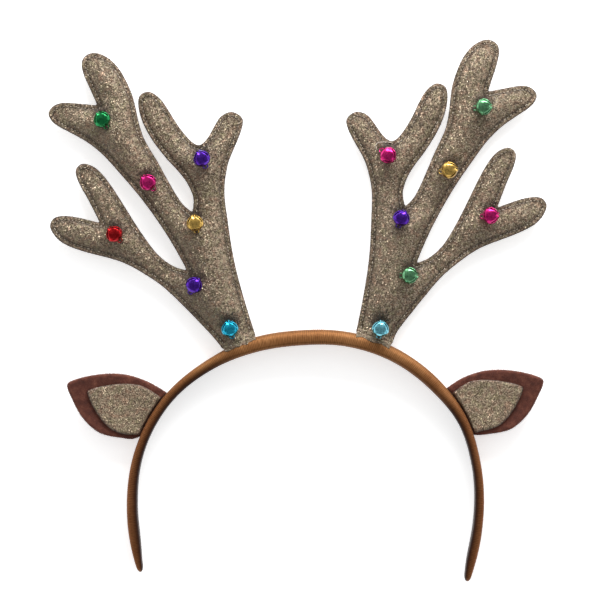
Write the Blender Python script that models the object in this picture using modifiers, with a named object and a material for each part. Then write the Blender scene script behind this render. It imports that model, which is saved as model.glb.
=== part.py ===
"""Reindeer antler headband, lying on its back.

A ribbon-wrapped arch carries two padded fabric antlers, two felt ears with a glitter front,
and seven small jingle bells on each antler.
X runs across the head, +Y from the ears up to the antlers, +Z out of the front of the costume.
The origin is on the back edge of the arch at its crown, which is the surface it lies on.
"""

import math

import bmesh
import bpy
import numpy as np
from mathutils import Matrix, Vector
from mathutils.bvhtree import BVHTree
from mathutils.geometry import delaunay_2d_cdt

MM = 0.001
GAP = 0.0003

# The arch
ARCH_CENTRE_Y = -0.0735
BAND_WIDTH = 0.011
BAND_END_WIDTH = 0.008
BAND_END_TAPER = 0.020
BAND_END_ROUNDING = 0.0028
BAND_BACK_CORNER = 0.0016
BAND_FRONT_CORNER = 0.0033
BAND_BACK_CORNER_SHARE = 0.36
BAND_FRONT_CORNER_SHARE = 0.47
BAND_STEP_DEG = 4.5
BAND_END_REACHES = (0.0004, 0.0012, 0.0028)
BAND_TIP = 0.0002
BAND_ROWS = (
    # angle_deg, outer_radius_mm, thickness_mm
    (-25.2, 79.5, 2.6),
    (-18.0, 78.8, 4.2),
    (-4.0, 78.3, 4.1),
    (14.0, 79.2, 3.9),
    (28.0, 80.6, 4.4),
    (42.0, 80.6, 5.8),
    (58.0, 79.9, 6.2),
    (75.0, 78.6, 6.6),
    (92.0, 77.0, 6.8),
    (108.0, 77.2, 6.6),
    (124.0, 77.2, 5.0),
    (142.0, 78.5, 4.3),
    (162.0, 78.8, 4.1),
    (180.0, 78.5, 4.6),
    (192.0, 78.8, 4.6),
    (202.0, 79.2, 2.4),
)

# The padded antlers
ANTLER_FLANGE = 0.002
ANTLER_FLANGE_HALF = 0.0006
ANTLER_SEAM_HALF = 0.0004
ANTLER_PUFF = 0.68
ANTLER_PUFF_LIMIT = 0.0053
ANTLER_EDGE_STEP_MM = 5.0
ANTLER_GRID_MM = 5.0
ANTLER_GRID_MARGIN = 0.42
ANTLER_BELL_MARGIN = 0.6
ANTLER_FOOT_POINTS = 6
DIMPLE_DEPTH = 0.42
DIMPLE_RADIUS = 0.0045

# The left antler's outline from the front. Neighbouring runs meet in a sharp fork.
ANTLER_BASE = Vector((-0.0293, -0.0024))
ANTLER_RUNS = {
    "beam, inner and crown tines": (
        # x_mm, y_mm
        (2.6, 19.1), (-1.8, 35.9), (-4.8, 54.3), (-6.2, 67.5), (-4.4, 79.9), (0.0, 90.4),
        (2.0, 97.9), (0.6, 100.4), (-3.5, 102.1), (-8.4, 99.7), (-13.6, 90.9),
        (-17.6, 87.3), (-22.4, 90.6), (-28.2, 98.3), (-33.9, 107.1), (-39.2, 110.9),
        (-43.1, 109.8), (-44.5, 106.7), (-42.9, 98.3), (-38.1, 89.1), (-31.2, 80.3),
        (-24.2, 72.4), (-20.2, 64.0), (-20.5, 57.9),
    ),
    "upper tine, inner point": (
        (-20.5, 57.9), (-24.6, 61.4), (-29.9, 69.7), (-36.0, 80.7), (-41.5, 90.0), (-44.3, 98.8),
        (-46.6, 108.9), (-53.2, 121.7), (-59.4, 126.9), (-64.7, 128.0), (-68.6, 125.6),
        (-69.3, 121.5), (-64.7, 109.8), (-62.5, 104.9),
    ),
    "upper tine, outer point": (
        (-62.5, 104.9), (-70.0, 105.6), (-77.9, 106.0), (-82.0, 104.4), (-84.0, 101.0),
        (-81.8, 97.0), (-75.2, 93.1), (-67.3, 88.7), (-60.3, 83.2), (-53.2, 75.5), (-43.1, 63.6),
        (-33.9, 50.8), (-28.2, 41.6), (-23.1, 32.3),
    ),
    "lower tine, inner point": (
        (-23.1, 32.3), (-28.2, 33.9), (-34.8, 38.5), (-42.7, 48.6), (-51.9, 63.1), (-58.5, 72.8),
        (-63.8, 77.9), (-69.1, 79.2), (-72.0, 76.3), (-70.8, 71.1), (-66.9, 64.0), (-61.4, 53.2),
    ),
    "lower tine, outer point": (
        (-61.4, 53.2), (-68.2, 55.0), (-76.6, 56.3), (-81.6, 55.2), (-83.3, 51.3), (-78.8, 44.9),
        (-70.8, 41.1), (-51.5, 35.6), (-42.5, 30.9), (-33.5, 24.8), (-25.6, 17.4), (-18.4, 10.1),
        (-11.2, 2.4),
    ),
}

# How each antler is turned and where its foot starts and ends along the arch
ANTLERS = {
    # side: mirror, lean_deg, size, foot_inner_deg, foot_outer_deg, offset_mm
    "left": (1, 0.0, 1.0, 106.3, 118.0, (0.0, 0.0)),
    "right": (-1, -5.9, 0.989, 73.8, 61.6, (0.3, 1.4)),
}

# The ears, felt with a smaller glitter piece on the front
FELT_THICKNESS = 0.002
EAR_FRONT_THICKNESS = 0.001
EAR_TIP_CURL = 0.0026
EAR_CUP = 0.0018
EAR_LENGTH = 0.037
EAR_HALF_HEIGHT = 0.014
EAR_AXIS_Y = 0.0042
EAR_GRID_MM = 6.5
EAR_GRID_MARGIN = 0.45
EAR_ROOT_POINTS = 5
EAR_FELT_EDGE = (
    # x_mm, y_mm
    (-1.8, 15.0), (-11.9, 18.3), (-22.9, 18.5), (-35.2, 15.7), (-37.2, 14.0), (-35.2, 7.9),
    (-30.4, -0.9), (-22.9, -7.5), (-13.6, -9.6), (-8.6, -10.1),
)
EAR_FRONT_EDGE = (
    # x_mm, y_mm
    (-4.4, 13.3), (-11.9, 14.3), (-20.7, 13.4), (-27.6, 11.5), (-28.2, 10.2),
    (-23.3, 0.0), (-17.6, -5.9), (-10.5, -8.2),
)
EAR_FRONT_CLEARANCE = 0.0015
EAR_FRONT_TOP_INSET_DEG = 2.2
EAR_FRONT_BOTTOM_INSET_DEG = 0.6
EARS = {
    # side: mirror, base_x_mm, base_y_mm, base_top_deg, base_bottom_deg
    "left": (1, -67.5, -34.3, 141.0, 157.6),
    "right": (-1, 67.3, -32.6, 39.6, 22.6),
}

# The bells
BELL_RADIUS = 0.004
BELL_WALL = 0.0005
BELL_CLEARANCE = 0.0004
BELL_SIDES = 12
BELL_OUTER_DEG = (90, 52, 16, -18, -52, -80)
BELL_INNER_DEG = (-80, -35, 25, 90)
BELL_SLITS = 3
SLIT_WIDTH = 0.0006
SLIT_REACH = 0.0048
SLIT_TOP = 0.0006
LOOP_RADIUS = 0.001
LOOP_WIRE_RADIUS = 0.00028
LOOP_STANDOFF = 0.0006
LOOP_SEGMENTS = 8
LOOP_WIRE_SIDES = 5
LOOP_TILT_DEG = 35
BELL_COLOURS = {
    "turquoise": (0.0, 0.30, 0.50),
    "violet": (0.08, 0.02, 0.42),
    "gold": (0.58, 0.36, 0.06),
    "magenta": (0.56, 0.01, 0.15),
    "green": (0.01, 0.19, 0.05),
    "red": (0.40, 0.005, 0.01),
    "sea_green": (0.10, 0.40, 0.22),
}
BELLS = {
    # side: colour, x_mm, y_mm, loop_direction_deg
    "left": (
        ("turquoise", -33.2, 4.4, -74),
        ("violet", -48.6, 23.5, -120),
        ("gold", -48.4, 50.6, -80),
        ("violet", -45.5, 78.8, -65),
        ("magenta", -69.1, 68.4, -50),
        ("green", -89.1, 95.9, -60),
        ("red", -83.8, 45.8, -50),
    ),
    "right": (
        ("turquoise", 32.8, 4.4, -100),
        ("sea_green", 45.8, 27.5, 180),
        ("violet", 42.0, 52.8, -110),
        ("magenta", 36.3, 79.9, 140),
        ("gold", 63.1, 73.7, 190),
        ("sea_green", 78.1, 101.2, 185),
        ("magenta", 81.2, 53.7, 185),
    ),
}


def clear_scene():
    """Remove every object the file opened with."""
    for obj in list(bpy.data.objects):
        bpy.data.objects.remove(obj, do_unlink=True)


def make_collection(name):
    """A collection of this name in the scene."""
    collection = bpy.data.collections.new(name)
    bpy.context.scene.collection.children.link(collection)
    return collection


def make_material(name, colour, roughness, metallic=0.0):
    """A plain Principled material."""
    material = bpy.data.materials.new(name)
    material.use_nodes = True
    shader = material.node_tree.nodes["Principled BSDF"]
    shader.inputs["Base Color"].default_value = (*colour, 1.0)
    shader.inputs["Roughness"].default_value = roughness
    shader.inputs["Metallic"].default_value = metallic
    return material


def object_from_mesh(name, mesh, material, collection):
    """An object that shows this mesh in its own material."""
    if not mesh.materials:
        mesh.materials.append(None)
    obj = bpy.data.objects.new(name, mesh)
    collection.objects.link(obj)
    obj.material_slots[0].link = "OBJECT"
    obj.material_slots[0].material = material
    return obj


def mesh_from_faces(name, points, faces):
    """A mesh with outward normals, shaded smooth below 40 degrees."""
    mesh = bpy.data.meshes.new(name)
    mesh.from_pydata([tuple(point) for point in points], [], faces)
    shape = bmesh.new()
    shape.from_mesh(mesh)
    bmesh.ops.recalc_face_normals(shape, faces=shape.faces)
    shape.to_mesh(mesh)
    shape.free()
    mesh.shade_smooth()
    mesh.set_sharp_from_angle(angle=math.radians(40))
    return mesh


def smooth_curve(rows, step):
    """Rows along a smooth curve through these rows, at least two to each span, ends included."""
    rows = np.array(rows, dtype=float)
    padded = np.vstack([2 * rows[0] - rows[1], rows, 2 * rows[-1] - rows[-2]])
    curve = []
    for before, start, end, after in zip(padded, padded[1:], padded[2:], padded[3:]):
        knots = [math.sqrt(np.linalg.norm(step_on)) for step_on in (start - before, end - start, after - end)]
        slope = (end - start) / knots[1]
        leave = (start - before) / knots[0] - (end - before) / (knots[0] + knots[1]) + slope
        arrive = slope - (after - start) / (knots[1] + knots[2]) + (after - end) / knots[2]
        count = max(2, round(np.linalg.norm(end - start) / step))
        for t in np.arange(count) / count:
            from_start = (2 * t**3 - 3 * t**2 + 1) * start + (t**3 - 2 * t**2 + t) * knots[1] * leave
            from_end = (3 * t**2 - 2 * t**3) * end + (t**3 - t**2) * knots[1] * arrive
            curve.append(from_start + from_end)
    curve.append(rows[-1])
    return np.array(curve)


BAND_CURVE = smooth_curve(BAND_ROWS, BAND_STEP_DEG)


def band_outer_radius(angle_deg):
    """Distance from the arch's centre to its outer face."""
    return np.interp(angle_deg, BAND_CURVE[:, 0], BAND_CURVE[:, 1]) * MM


def band_thickness(angle_deg):
    """Thickness of the wrapped arch, measured towards the head."""
    return np.interp(angle_deg, BAND_CURVE[:, 0], BAND_CURVE[:, 2]) * MM


def arch_point(angle_deg, radius, z=0.0):
    """A point at this angle and distance from the arch's centre."""
    angle = math.radians(angle_deg)
    return Vector((radius * math.cos(angle), ARCH_CENTRE_Y + radius * math.sin(angle), z))


def rounded_section(thickness, width):
    """Depths under the outer face and heights above the back: a flat back and a domed front."""
    back = min(BAND_BACK_CORNER, BAND_BACK_CORNER_SHARE * thickness)
    front = min(BAND_FRONT_CORNER, BAND_FRONT_CORNER_SHARE * thickness)
    corners = (
        # depth, height, radius, start_deg
        (back, back, back, 180),
        (thickness - back, back, back, 270),
        (thickness - front, width - front, front, 0),
        (front, width - front, front, 90),
    )
    section = []
    for depth, height, corner, start_deg in corners:
        for turn_deg in (0, 45, 90):
            angle = math.radians(start_deg + turn_deg)
            section.append((depth + corner * math.cos(angle), height + corner * math.sin(angle)))
    return section


def build_band(material, collection):
    """The wrapped arch: a rounded section lofted round the head, tapered at both ends."""
    first, last = BAND_CURVE[0, 0], BAND_CURVE[-1, 0]
    radius = band_outer_radius(90)
    near_end = [0.0, *(math.degrees(reach / radius) for reach in BAND_END_REACHES)]
    between = np.linspace(first, last, round((last - first) / BAND_STEP_DEG))[1:-1]
    stations = [*(first + turn for turn in near_end), *between, *(last - turn for turn in reversed(near_end))]
    points = []
    for angle in stations:
        reach = math.radians(min(angle - first, last - angle)) * radius
        fullness = min(1.0, (reach + BAND_TIP) / BAND_END_ROUNDING)
        rounding = math.sqrt(1 - (1 - fullness) ** 2)
        width = BAND_END_WIDTH + (BAND_WIDTH - BAND_END_WIDTH) * min(1.0, reach / BAND_END_TAPER)
        thickness = band_thickness(angle) * rounding
        width *= rounding
        outer = band_outer_radius(angle) - (band_thickness(angle) - thickness) / 2
        back = (BAND_WIDTH - width) / 2
        for depth, height in rounded_section(thickness, width):
            points.append(arch_point(angle, outer - depth, back + height))
    sides = len(points) // len(stations)
    faces = [tuple(range(sides)), tuple(range(len(points) - sides, len(points)))]
    for ring in range(len(stations) - 1):
        for side in range(sides):
            a = ring * sides + side
            b = ring * sides + (side + 1) % sides
            faces.append((a, b, b + sides, a + sides))
    return object_from_mesh("headband", mesh_from_faces("headband", points, faces), material, collection)


def distance_to_path(point, path):
    """Shortest distance from a point to an open path."""
    start, end = path[:-1], path[1:]
    along = end - start
    share = np.clip(((point - start) * along).sum(1) / (along**2).sum(1), 0, 1)
    return np.linalg.norm(start + share[:, None] * along - point, axis=1).min()


def inside(point, loop):
    """Whether the point lies inside the closed loop."""
    a, b = loop, np.roll(loop, -1, axis=0)
    spans = (a[:, 1] > point[1]) != (b[:, 1] > point[1])
    a, b = a[spans], b[spans]
    crossings = a[:, 0] + (point[1] - a[:, 1]) / (b[:, 1] - a[:, 1]) * (b[:, 0] - a[:, 0])
    return np.count_nonzero(crossings > point[0]) % 2 == 1


def grid_inside(loop, spacing, keep_off):
    """Points of a triangular grid inside the loop and this far from its edge."""
    low, high = loop.min(0), loop.max(0)
    closed = np.vstack([loop, loop[:1]])
    row_height = spacing * math.sqrt(3) / 2
    points = []
    for row, y in enumerate(np.arange(low[1], high[1], row_height)):
        for x in np.arange(low[0] + spacing / 2 * (row % 2), high[0], spacing):
            point = np.array((x, y))
            if inside(point, loop) and distance_to_path(point, closed) > keep_off:
                points.append(point)
    return points


def triangulate(points, edges, loop):
    """Triangles over the loop that keep the given edges, in the points' own numbering."""
    corners = [Vector(point) for point in points]
    found = delaunay_2d_cdt(corners, edges, [loop], 1, 1e-5)
    names = [originals[0] for originals in found[3]]
    return [tuple(names[i] for i in face) for face in found[2]]


def inset_path(path, distance):
    """The path moved sideways to its left by the distance."""
    ahead = np.vstack([path[1:], path[-1:]])
    behind = np.vstack([path[:1], path[:-1]])
    along = ahead - path
    back = path - behind
    along /= np.maximum(np.linalg.norm(along, axis=1, keepdims=True), 1e-9)
    back /= np.maximum(np.linalg.norm(back, axis=1, keepdims=True), 1e-9)
    run = along + back
    run /= np.linalg.norm(run, axis=1, keepdims=True)
    return path + distance * np.stack([-run[:, 1], run[:, 0]], axis=1)


def blown_height(points, triangles, pinned):
    """Height of a cushion blown up between its seams, from the membrane equation."""
    count = len(points)
    stiffness = np.zeros((count, count))
    load = np.zeros(count)
    for triangle in triangles:
        p = points[list(triangle)]
        area = abs(np.linalg.det(np.stack([p[1] - p[0], p[2] - p[0]]))) / 2
        for i in range(3):
            a, b = p[(i + 1) % 3] - p[i], p[(i + 2) % 3] - p[i]
            cotangent = a @ b / (2 * area)
            m, n = triangle[(i + 1) % 3], triangle[(i + 2) % 3]
            stiffness[m, n] -= cotangent / 2
            stiffness[n, m] -= cotangent / 2
            stiffness[m, m] += cotangent / 2
            stiffness[n, n] += cotangent / 2
            load[triangle[i]] += area / 3
    free = ~pinned
    height = np.zeros(count)
    height[free] = np.linalg.solve(stiffness[np.ix_(free, free)], load[free])
    return np.sqrt(2 * np.maximum(height, 0))


def antler_edge(side):
    """The antler's sewn edge in mm, from the inner end of its foot to the outer one."""
    mirror, lean_deg, size, foot_inner, foot_outer, offset = ANTLERS[side]
    feet = [arch_point(foot, band_outer_radius(foot) + GAP).xy / MM for foot in (foot_inner, foot_outer)]
    turn = Matrix.Rotation(math.radians(lean_deg), 2)

    def placed(x, y):
        spot = turn @ (Vector((x, y)) * size) + ANTLER_BASE / MM
        return Vector((spot.x * mirror, spot.y)) + Vector(offset)

    edge = []
    for name, run in ANTLER_RUNS.items():
        spots = [placed(x, y) for x, y in run]
        if name.startswith("beam"):
            spots.insert(0, feet[0])
        if name.startswith("lower tine, outer"):
            spots.append(feet[1])
        edge.extend(smooth_curve(spots, ANTLER_EDGE_STEP_MM)[: None if spots[-1] is feet[1] else -1])
    return np.array(edge)


def build_antler(side, material, collection):
    """A padded antler: two layers sewn together along a flat flange and blown up between."""
    mirror, _, _, foot_inner, foot_outer, _ = ANTLERS[side]
    edge = antler_edge(side)
    flange = ANTLER_FLANGE / MM
    seam = inset_path(edge, flange * mirror)

    foot_turn = math.degrees(ANTLER_FLANGE / band_outer_radius(foot_inner)) * mirror
    foot_angles = np.linspace(foot_outer - foot_turn, foot_inner + foot_turn, ANTLER_FOOT_POINTS)
    foot = np.array([arch_point(a, band_outer_radius(a) + GAP).xy / MM for a in foot_angles])
    seam[0], seam[-1] = foot[-1], foot[0]

    padding = np.vstack([seam, foot[1:-1]])
    sewn = [np.array((x, y)) for _, x, y, _ in BELLS[side]]
    grid = grid_inside(padding, ANTLER_GRID_MM, ANTLER_GRID_MM * ANTLER_GRID_MARGIN)
    room = ANTLER_GRID_MM * ANTLER_BELL_MARGIN
    filling = [point for point in grid if min(np.linalg.norm(point - bell) for bell in sewn) > room]
    points = np.vstack([edge, seam, foot[1:-1], filling, sewn])

    rim = len(edge)
    seam_ids = list(range(rim, 2 * rim))
    foot_ids = list(range(2 * rim, 2 * rim + len(foot) - 2))
    outline = [*range(rim), seam_ids[-1], *foot_ids, seam_ids[0]]
    triangles = triangulate(points, list(zip(seam_ids, seam_ids[1:])), outline)

    pinned = np.zeros(len(points), dtype=bool)
    pinned[: 2 * rim] = True
    loft = blown_height(points * MM, triangles, pinned) * ANTLER_PUFF
    loft = ANTLER_PUFF_LIMIT * np.tanh(loft / ANTLER_PUFF_LIMIT)
    for bell in sewn:
        near = np.linalg.norm(points - bell, axis=1) * MM / DIMPLE_RADIUS
        loft *= 1 - DIMPLE_DEPTH * np.exp(-(near**2))
    half = loft + ANTLER_SEAM_HALF
    half[:rim] = ANTLER_FLANGE_HALF

    middle = BAND_WIDTH / 2
    count = len(points)
    solid = [Vector((x * MM, y * MM, middle + h)) for (x, y), h in zip(points, half)]
    solid += [Vector((x * MM, y * MM, middle - h)) for (x, y), h in zip(points, half)]
    faces = list(triangles) + [tuple(i + count for i in reversed(face)) for face in triangles]
    for a, b in zip(outline, outline[1:] + outline[:1]):
        faces.append((a, b, b + count, a + count))
    name = f"antler_{side}"
    return object_from_mesh(name, mesh_from_faces(name, solid, faces), material, collection)


def ear_height(x, y, mirror, base):
    """Height of the ear's middle surface: the tip curls forward and the edges cup."""
    out = -(x - base[0]) * mirror / EAR_LENGTH
    across = (y - base[1] - EAR_AXIS_Y) / EAR_HALF_HEIGHT
    return BAND_WIDTH / 2 + EAR_TIP_CURL * max(out, 0) ** 2 + EAR_CUP * (across**2) * max(out, 0)


def build_ear_sheet(name, loop, side, lift, thickness, material, collection):
    """A cupped sheet of cloth over a closed outline in mm."""
    mirror, base_x, base_y, _, _ = EARS[side]
    filling = grid_inside(loop, EAR_GRID_MM, EAR_GRID_MM * EAR_GRID_MARGIN)
    points = np.vstack([loop, filling]) * MM
    triangles = triangulate(points / MM, [], list(range(len(loop))))
    base = (base_x * MM, base_y * MM)
    sheet = [Vector((x, y, ear_height(x, y, mirror, base) + lift)) for x, y in points]
    mesh = mesh_from_faces(name, sheet, triangles)
    if mesh.polygons[0].normal.z < 0:
        mesh.flip_normals()
    ear = object_from_mesh(name, mesh, material, collection)
    wall = ear.modifiers.new("cloth thickness", "SOLIDIFY")
    wall.thickness = thickness
    wall.offset = 0.0
    wall.use_even_offset = True
    return ear


def build_ear(side, felt, glitter, collection):
    """The felt ear, butted to the arch, and the glitter piece sewn on its front."""
    mirror, base_x, base_y, top_deg, bottom_deg = EARS[side]

    def placed(table):
        return [(base_x + x * mirror, base_y + y) for x, y in table]

    def outline(table, bottom, top, clearance):
        angles = np.linspace(bottom, top, EAR_ROOT_POINTS)
        root = [arch_point(a, band_outer_radius(a) + clearance).xy / MM for a in angles]
        edge = smooth_curve([root[-1], *placed(table), root[0]], EAR_GRID_MM)
        return np.vstack([edge, root[1:-1]])

    back = outline(EAR_FELT_EDGE, bottom_deg, top_deg, GAP)
    build_ear_sheet(f"ear_{side}_back", back, side, 0.0, FELT_THICKNESS, felt, collection)

    front_top = top_deg + EAR_FRONT_TOP_INSET_DEG * mirror
    front_bottom = bottom_deg - EAR_FRONT_BOTTOM_INSET_DEG * mirror
    front = outline(EAR_FRONT_EDGE, front_bottom, front_top, EAR_FRONT_CLEARANCE)
    front_lift = (FELT_THICKNESS + EAR_FRONT_THICKNESS) / 2 + GAP
    build_ear_sheet(f"ear_{side}_front", front, side, front_lift, EAR_FRONT_THICKNESS, glitter, collection)


def evaluated_mesh(obj, name):
    """The object's mesh with its modifiers applied."""
    graph = bpy.context.evaluated_depsgraph_get()
    return bpy.data.meshes.new_from_object(obj.evaluated_get(graph)).copy()


def build_bell_mesh(cutters):
    """A hollow bell round Z: wire loop on top, three slits meeting at the bottom."""
    profile = []
    for angles, radius in ((BELL_OUTER_DEG, BELL_RADIUS), (BELL_INNER_DEG, BELL_RADIUS - BELL_WALL)):
        for angle in map(math.radians, angles):
            profile.append((radius * math.cos(angle), 0.0, radius * math.sin(angle)))
    profile[0] = (0.0, 0.0, BELL_RADIUS)
    profile[-1] = (0.0, 0.0, BELL_RADIUS - BELL_WALL)
    mesh = bpy.data.meshes.new("bell profile")
    mesh.from_pydata(profile, [(i, i + 1) for i in range(len(profile) - 1)], [])
    shell = bpy.data.objects.new("bell shell", mesh)
    cutters.objects.link(shell)
    turn = shell.modifiers.new("turned shell", "SCREW")
    turn.steps = turn.render_steps = BELL_SIDES
    turn.use_merge_vertices = True
    turn.merge_threshold = 0.00001
    turn.use_normal_calculate = True

    helpers = []
    for slit in range(BELL_SLITS):
        bpy.ops.mesh.primitive_cube_add(size=1)
        box = bpy.context.object
        size = Vector((SLIT_REACH, SLIT_WIDTH, SLIT_REACH))
        offset = Vector((size.x / 2, 0, -size.z / 2 - SLIT_TOP))
        spin = Matrix.Rotation(math.tau * (slit + 0.5) / BELL_SLITS, 4, "Z")
        box.data.transform(spin @ Matrix.Translation(offset) @ Matrix.Diagonal((*size, 1)))
        cut = shell.modifiers.new("slit", "BOOLEAN")
        cut.object = box
        helpers.append(box)
    bpy.ops.mesh.primitive_torus_add(
        major_segments=LOOP_SEGMENTS, minor_segments=LOOP_WIRE_SIDES,
        major_radius=LOOP_RADIUS, minor_radius=LOOP_WIRE_RADIUS,
        location=(0, 0, BELL_RADIUS + LOOP_STANDOFF), rotation=(math.pi / 2, 0, 0))
    loop = bpy.context.object
    join = shell.modifiers.new("loop", "BOOLEAN")
    join.operation = "UNION"
    join.object = loop
    helpers.append(loop)

    bell = evaluated_mesh(shell, "bell")
    bell.materials.clear()
    bell.materials.append(None)
    bell.shade_smooth()
    bell.set_sharp_from_angle(angle=math.radians(40))
    for helper in (shell, *helpers):
        bpy.data.objects.remove(helper, do_unlink=True)
    return bell


def seat_bell(mesh, turn, x, y, antler_tree):
    """Height of the bell's centre where it has been let down on to the cloth."""
    above = 0.05
    lowest = -above
    for vertex in mesh.vertices:
        spot = turn @ vertex.co + Vector((x, y, 0))
        hit, _, _, _ = antler_tree.ray_cast(Vector((spot.x, spot.y, above)), Vector((0, 0, -1)))
        if hit:
            lowest = max(lowest, hit.z - spot.z)
    return lowest + BELL_CLEARANCE


def build_bells(side, antler, bell_mesh, materials, collection):
    """Seven bells, each with its loop on the cloth and its slits facing forwards."""
    corners = [vertex.co for vertex in antler.data.vertices]
    tree = BVHTree.FromPolygons(corners, [face.vertices for face in antler.data.polygons])
    for number, (colour, x_mm, y_mm, loop_deg) in enumerate(BELLS[side], start=1):
        flat = math.radians(loop_deg)
        tilt = math.radians(LOOP_TILT_DEG)
        loop_way = Vector((math.cos(flat) * math.cos(tilt), math.sin(flat) * math.cos(tilt), -math.sin(tilt)))
        across = Vector((-math.sin(flat), math.cos(flat), 0))
        turn = Matrix((across, loop_way.cross(across), loop_way)).transposed()
        height = seat_bell(bell_mesh, turn, x_mm * MM, y_mm * MM, tree)
        bell = object_from_mesh(f"bell_{side}_{number}_{colour}", bell_mesh, materials[colour], collection)
        bell.location = (x_mm * MM, y_mm * MM, height)
        bell.rotation_euler = turn.to_euler()


clear_scene()
headband = make_collection("reindeer antler headband")
cutters = make_collection("cutters")
satin = make_material("brown satin ribbon", (0.30, 0.10, 0.03), 0.42)
felt = make_material("dark brown felt", (0.085, 0.026, 0.020), 0.95)
glitter = make_material("champagne glitter fabric", (0.27, 0.19, 0.12), 0.45, 0.3)
bell_metals = {}
for name, colour in BELL_COLOURS.items():
    bell_metals[name] = make_material(f"{name} bell", colour, 0.22, 1.0)

build_band(satin, headband)
bell_mesh = build_bell_mesh(cutters)
for side in ("left", "right"):
    antler = build_antler(side, glitter, headband)
    build_ear(side, felt, glitter, headband)
    build_bells(side, antler, bell_mesh, bell_metals, headband)
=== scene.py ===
import math

import bmesh
import bpy
import numpy as np
from mathutils import Matrix, Vector
from mathutils.bvhtree import BVHTree
from mathutils.geometry import delaunay_2d_cdt
from mathutils.kdtree import KDTree


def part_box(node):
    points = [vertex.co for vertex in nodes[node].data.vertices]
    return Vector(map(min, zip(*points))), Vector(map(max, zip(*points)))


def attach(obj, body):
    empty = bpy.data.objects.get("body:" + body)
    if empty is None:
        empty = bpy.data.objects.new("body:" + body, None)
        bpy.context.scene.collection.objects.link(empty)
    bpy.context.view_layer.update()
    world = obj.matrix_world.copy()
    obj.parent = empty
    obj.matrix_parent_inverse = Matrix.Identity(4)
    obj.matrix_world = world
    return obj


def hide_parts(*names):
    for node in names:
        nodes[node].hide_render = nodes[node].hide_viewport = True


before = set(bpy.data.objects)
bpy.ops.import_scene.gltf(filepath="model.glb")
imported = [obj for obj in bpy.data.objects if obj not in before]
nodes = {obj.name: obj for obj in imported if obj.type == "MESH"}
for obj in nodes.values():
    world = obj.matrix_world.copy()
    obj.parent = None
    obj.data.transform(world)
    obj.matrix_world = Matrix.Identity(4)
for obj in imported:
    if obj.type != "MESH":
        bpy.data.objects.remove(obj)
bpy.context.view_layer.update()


# The headband is a springy plastic hoop, flat at the back and domed in front. A narrow ribbon of
# caramel satin is wound round it turn against turn from one tip to the other, and glued there.
MM = 0.001
ARCH_CENTRE_Y = -0.0735
BAND_WIDTH = 0.011
BAND_END_WIDTH = 0.008
BAND_END_TAPER = 0.020
BAND_END_ROUNDING = 0.0028
BAND_BACK_CORNER = 0.0016
BAND_FRONT_CORNER = 0.0033
BAND_BACK_SHARE = 0.36
BAND_FRONT_SHARE = 0.47
BAND_TIP = 0.0002
BAND_MEAN_RADIUS = 0.0785
CROWN_THICKNESS = 0.0048
CROWN_BLEND = 0.0016
CROWN_PEAK = 0.76
CROWN_FLAT = 0.02
CROWN_LIT = 0.85
CORNER_TURNS_DEG = (0, 22.5, 45, 67.5, 90)
BAND_ROWS = (
    # angle_deg, outer_radius_mm, thickness_mm
    (-25.2, 79.5, 2.6),
    (-18.0, 78.8, 4.2),
    (-4.0, 78.3, 4.1),
    (14.0, 79.2, 3.9),
    (28.0, 80.6, 4.4),
    (42.0, 80.6, 5.8),
    (58.0, 79.9, 6.2),
    (75.0, 78.6, 6.6),
    (92.0, 77.0, 6.8),
    (108.0, 77.2, 6.6),
    (124.0, 77.2, 5.0),
    (142.0, 78.5, 4.3),
    (162.0, 78.8, 4.1),
    (180.0, 78.5, 4.6),
    (192.0, 78.8, 4.6),
    (202.0, 79.2, 2.4),
)
TURN_PITCH = 0.00075
TURN_DEPTH = 0.00011
TURN_FULLNESS = (0.6, 1.15)
TURN_SAMPLES = 6
TURN_SEED = 7
RIDGE_POWER = 0.75
# Painted shade on the band's inner side: where it starts, as a share of the depth, and how far it blends.
INNER_SHADE_FROM, INNER_SHADE_BLEND = 0.40, 0.42
# Painted shade toward the band's ends: where it starts and how far it blends, in degrees from the crown.
END_SHADE_DEG, END_SHADE_BLEND_DEG = 35, 30


def smooth_curve(rows, step):
    """Rows along a smooth curve through these rows, at least two to each span, ends included."""
    rows = np.array(rows, dtype=float)
    padded = np.vstack([2 * rows[0] - rows[1], rows, 2 * rows[-1] - rows[-2]])
    curve = []
    for before, start, end, after in zip(padded, padded[1:], padded[2:], padded[3:]):
        knots = [math.sqrt(np.linalg.norm(s)) for s in (start - before, end - start, after - end)]
        slope = (end - start) / knots[1]
        leave = (start - before) / knots[0] - (end - before) / (knots[0] + knots[1]) + slope
        arrive = slope - (after - start) / (knots[1] + knots[2]) + (after - end) / knots[2]
        count = max(2, round(np.linalg.norm(end - start) / step))
        for t in np.arange(count) / count:
            from_start = (2 * t**3 - 3 * t**2 + 1) * start + (t**3 - 2 * t**2 + t) * knots[1] * leave
            from_end = (3 * t**2 - 2 * t**3) * end + (t**3 - t**2) * knots[1] * arrive
            curve.append(from_start + from_end)
    curve.append(rows[-1])
    return np.array(curve)


band_curve = smooth_curve(BAND_ROWS, 1.0)


def band_outer_radius(angle_deg):
    """Distance from the arch's centre to its outer face."""
    return np.interp(angle_deg, band_curve[:, 0], band_curve[:, 1]) * MM


def round_arch(points):
    """Flat points from the arch's centre: the way to each, how far it is, and its angle in degrees."""
    way = points - (0, ARCH_CENTRE_Y)
    return way, np.linalg.norm(way, axis=1), np.degrees(np.arctan2(way[:, 1], way[:, 0]))


def placed(name, mesh):
    """A finished object with this mesh, at the origin."""
    piece = bpy.data.objects.new(name, mesh)
    bpy.context.scene.collection.objects.link(piece)
    return piece


def mesh_object(name, points, faces, material=None):
    """A finished object at the origin from points and faces."""
    mesh = bpy.data.meshes.new(name)
    mesh.from_pydata([tuple(p) for p in points], [], [tuple(f) for f in faces])
    mesh.validate()
    if material:
        mesh.materials.append(material)
    mesh.shade_smooth()
    return placed(name, mesh)


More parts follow.
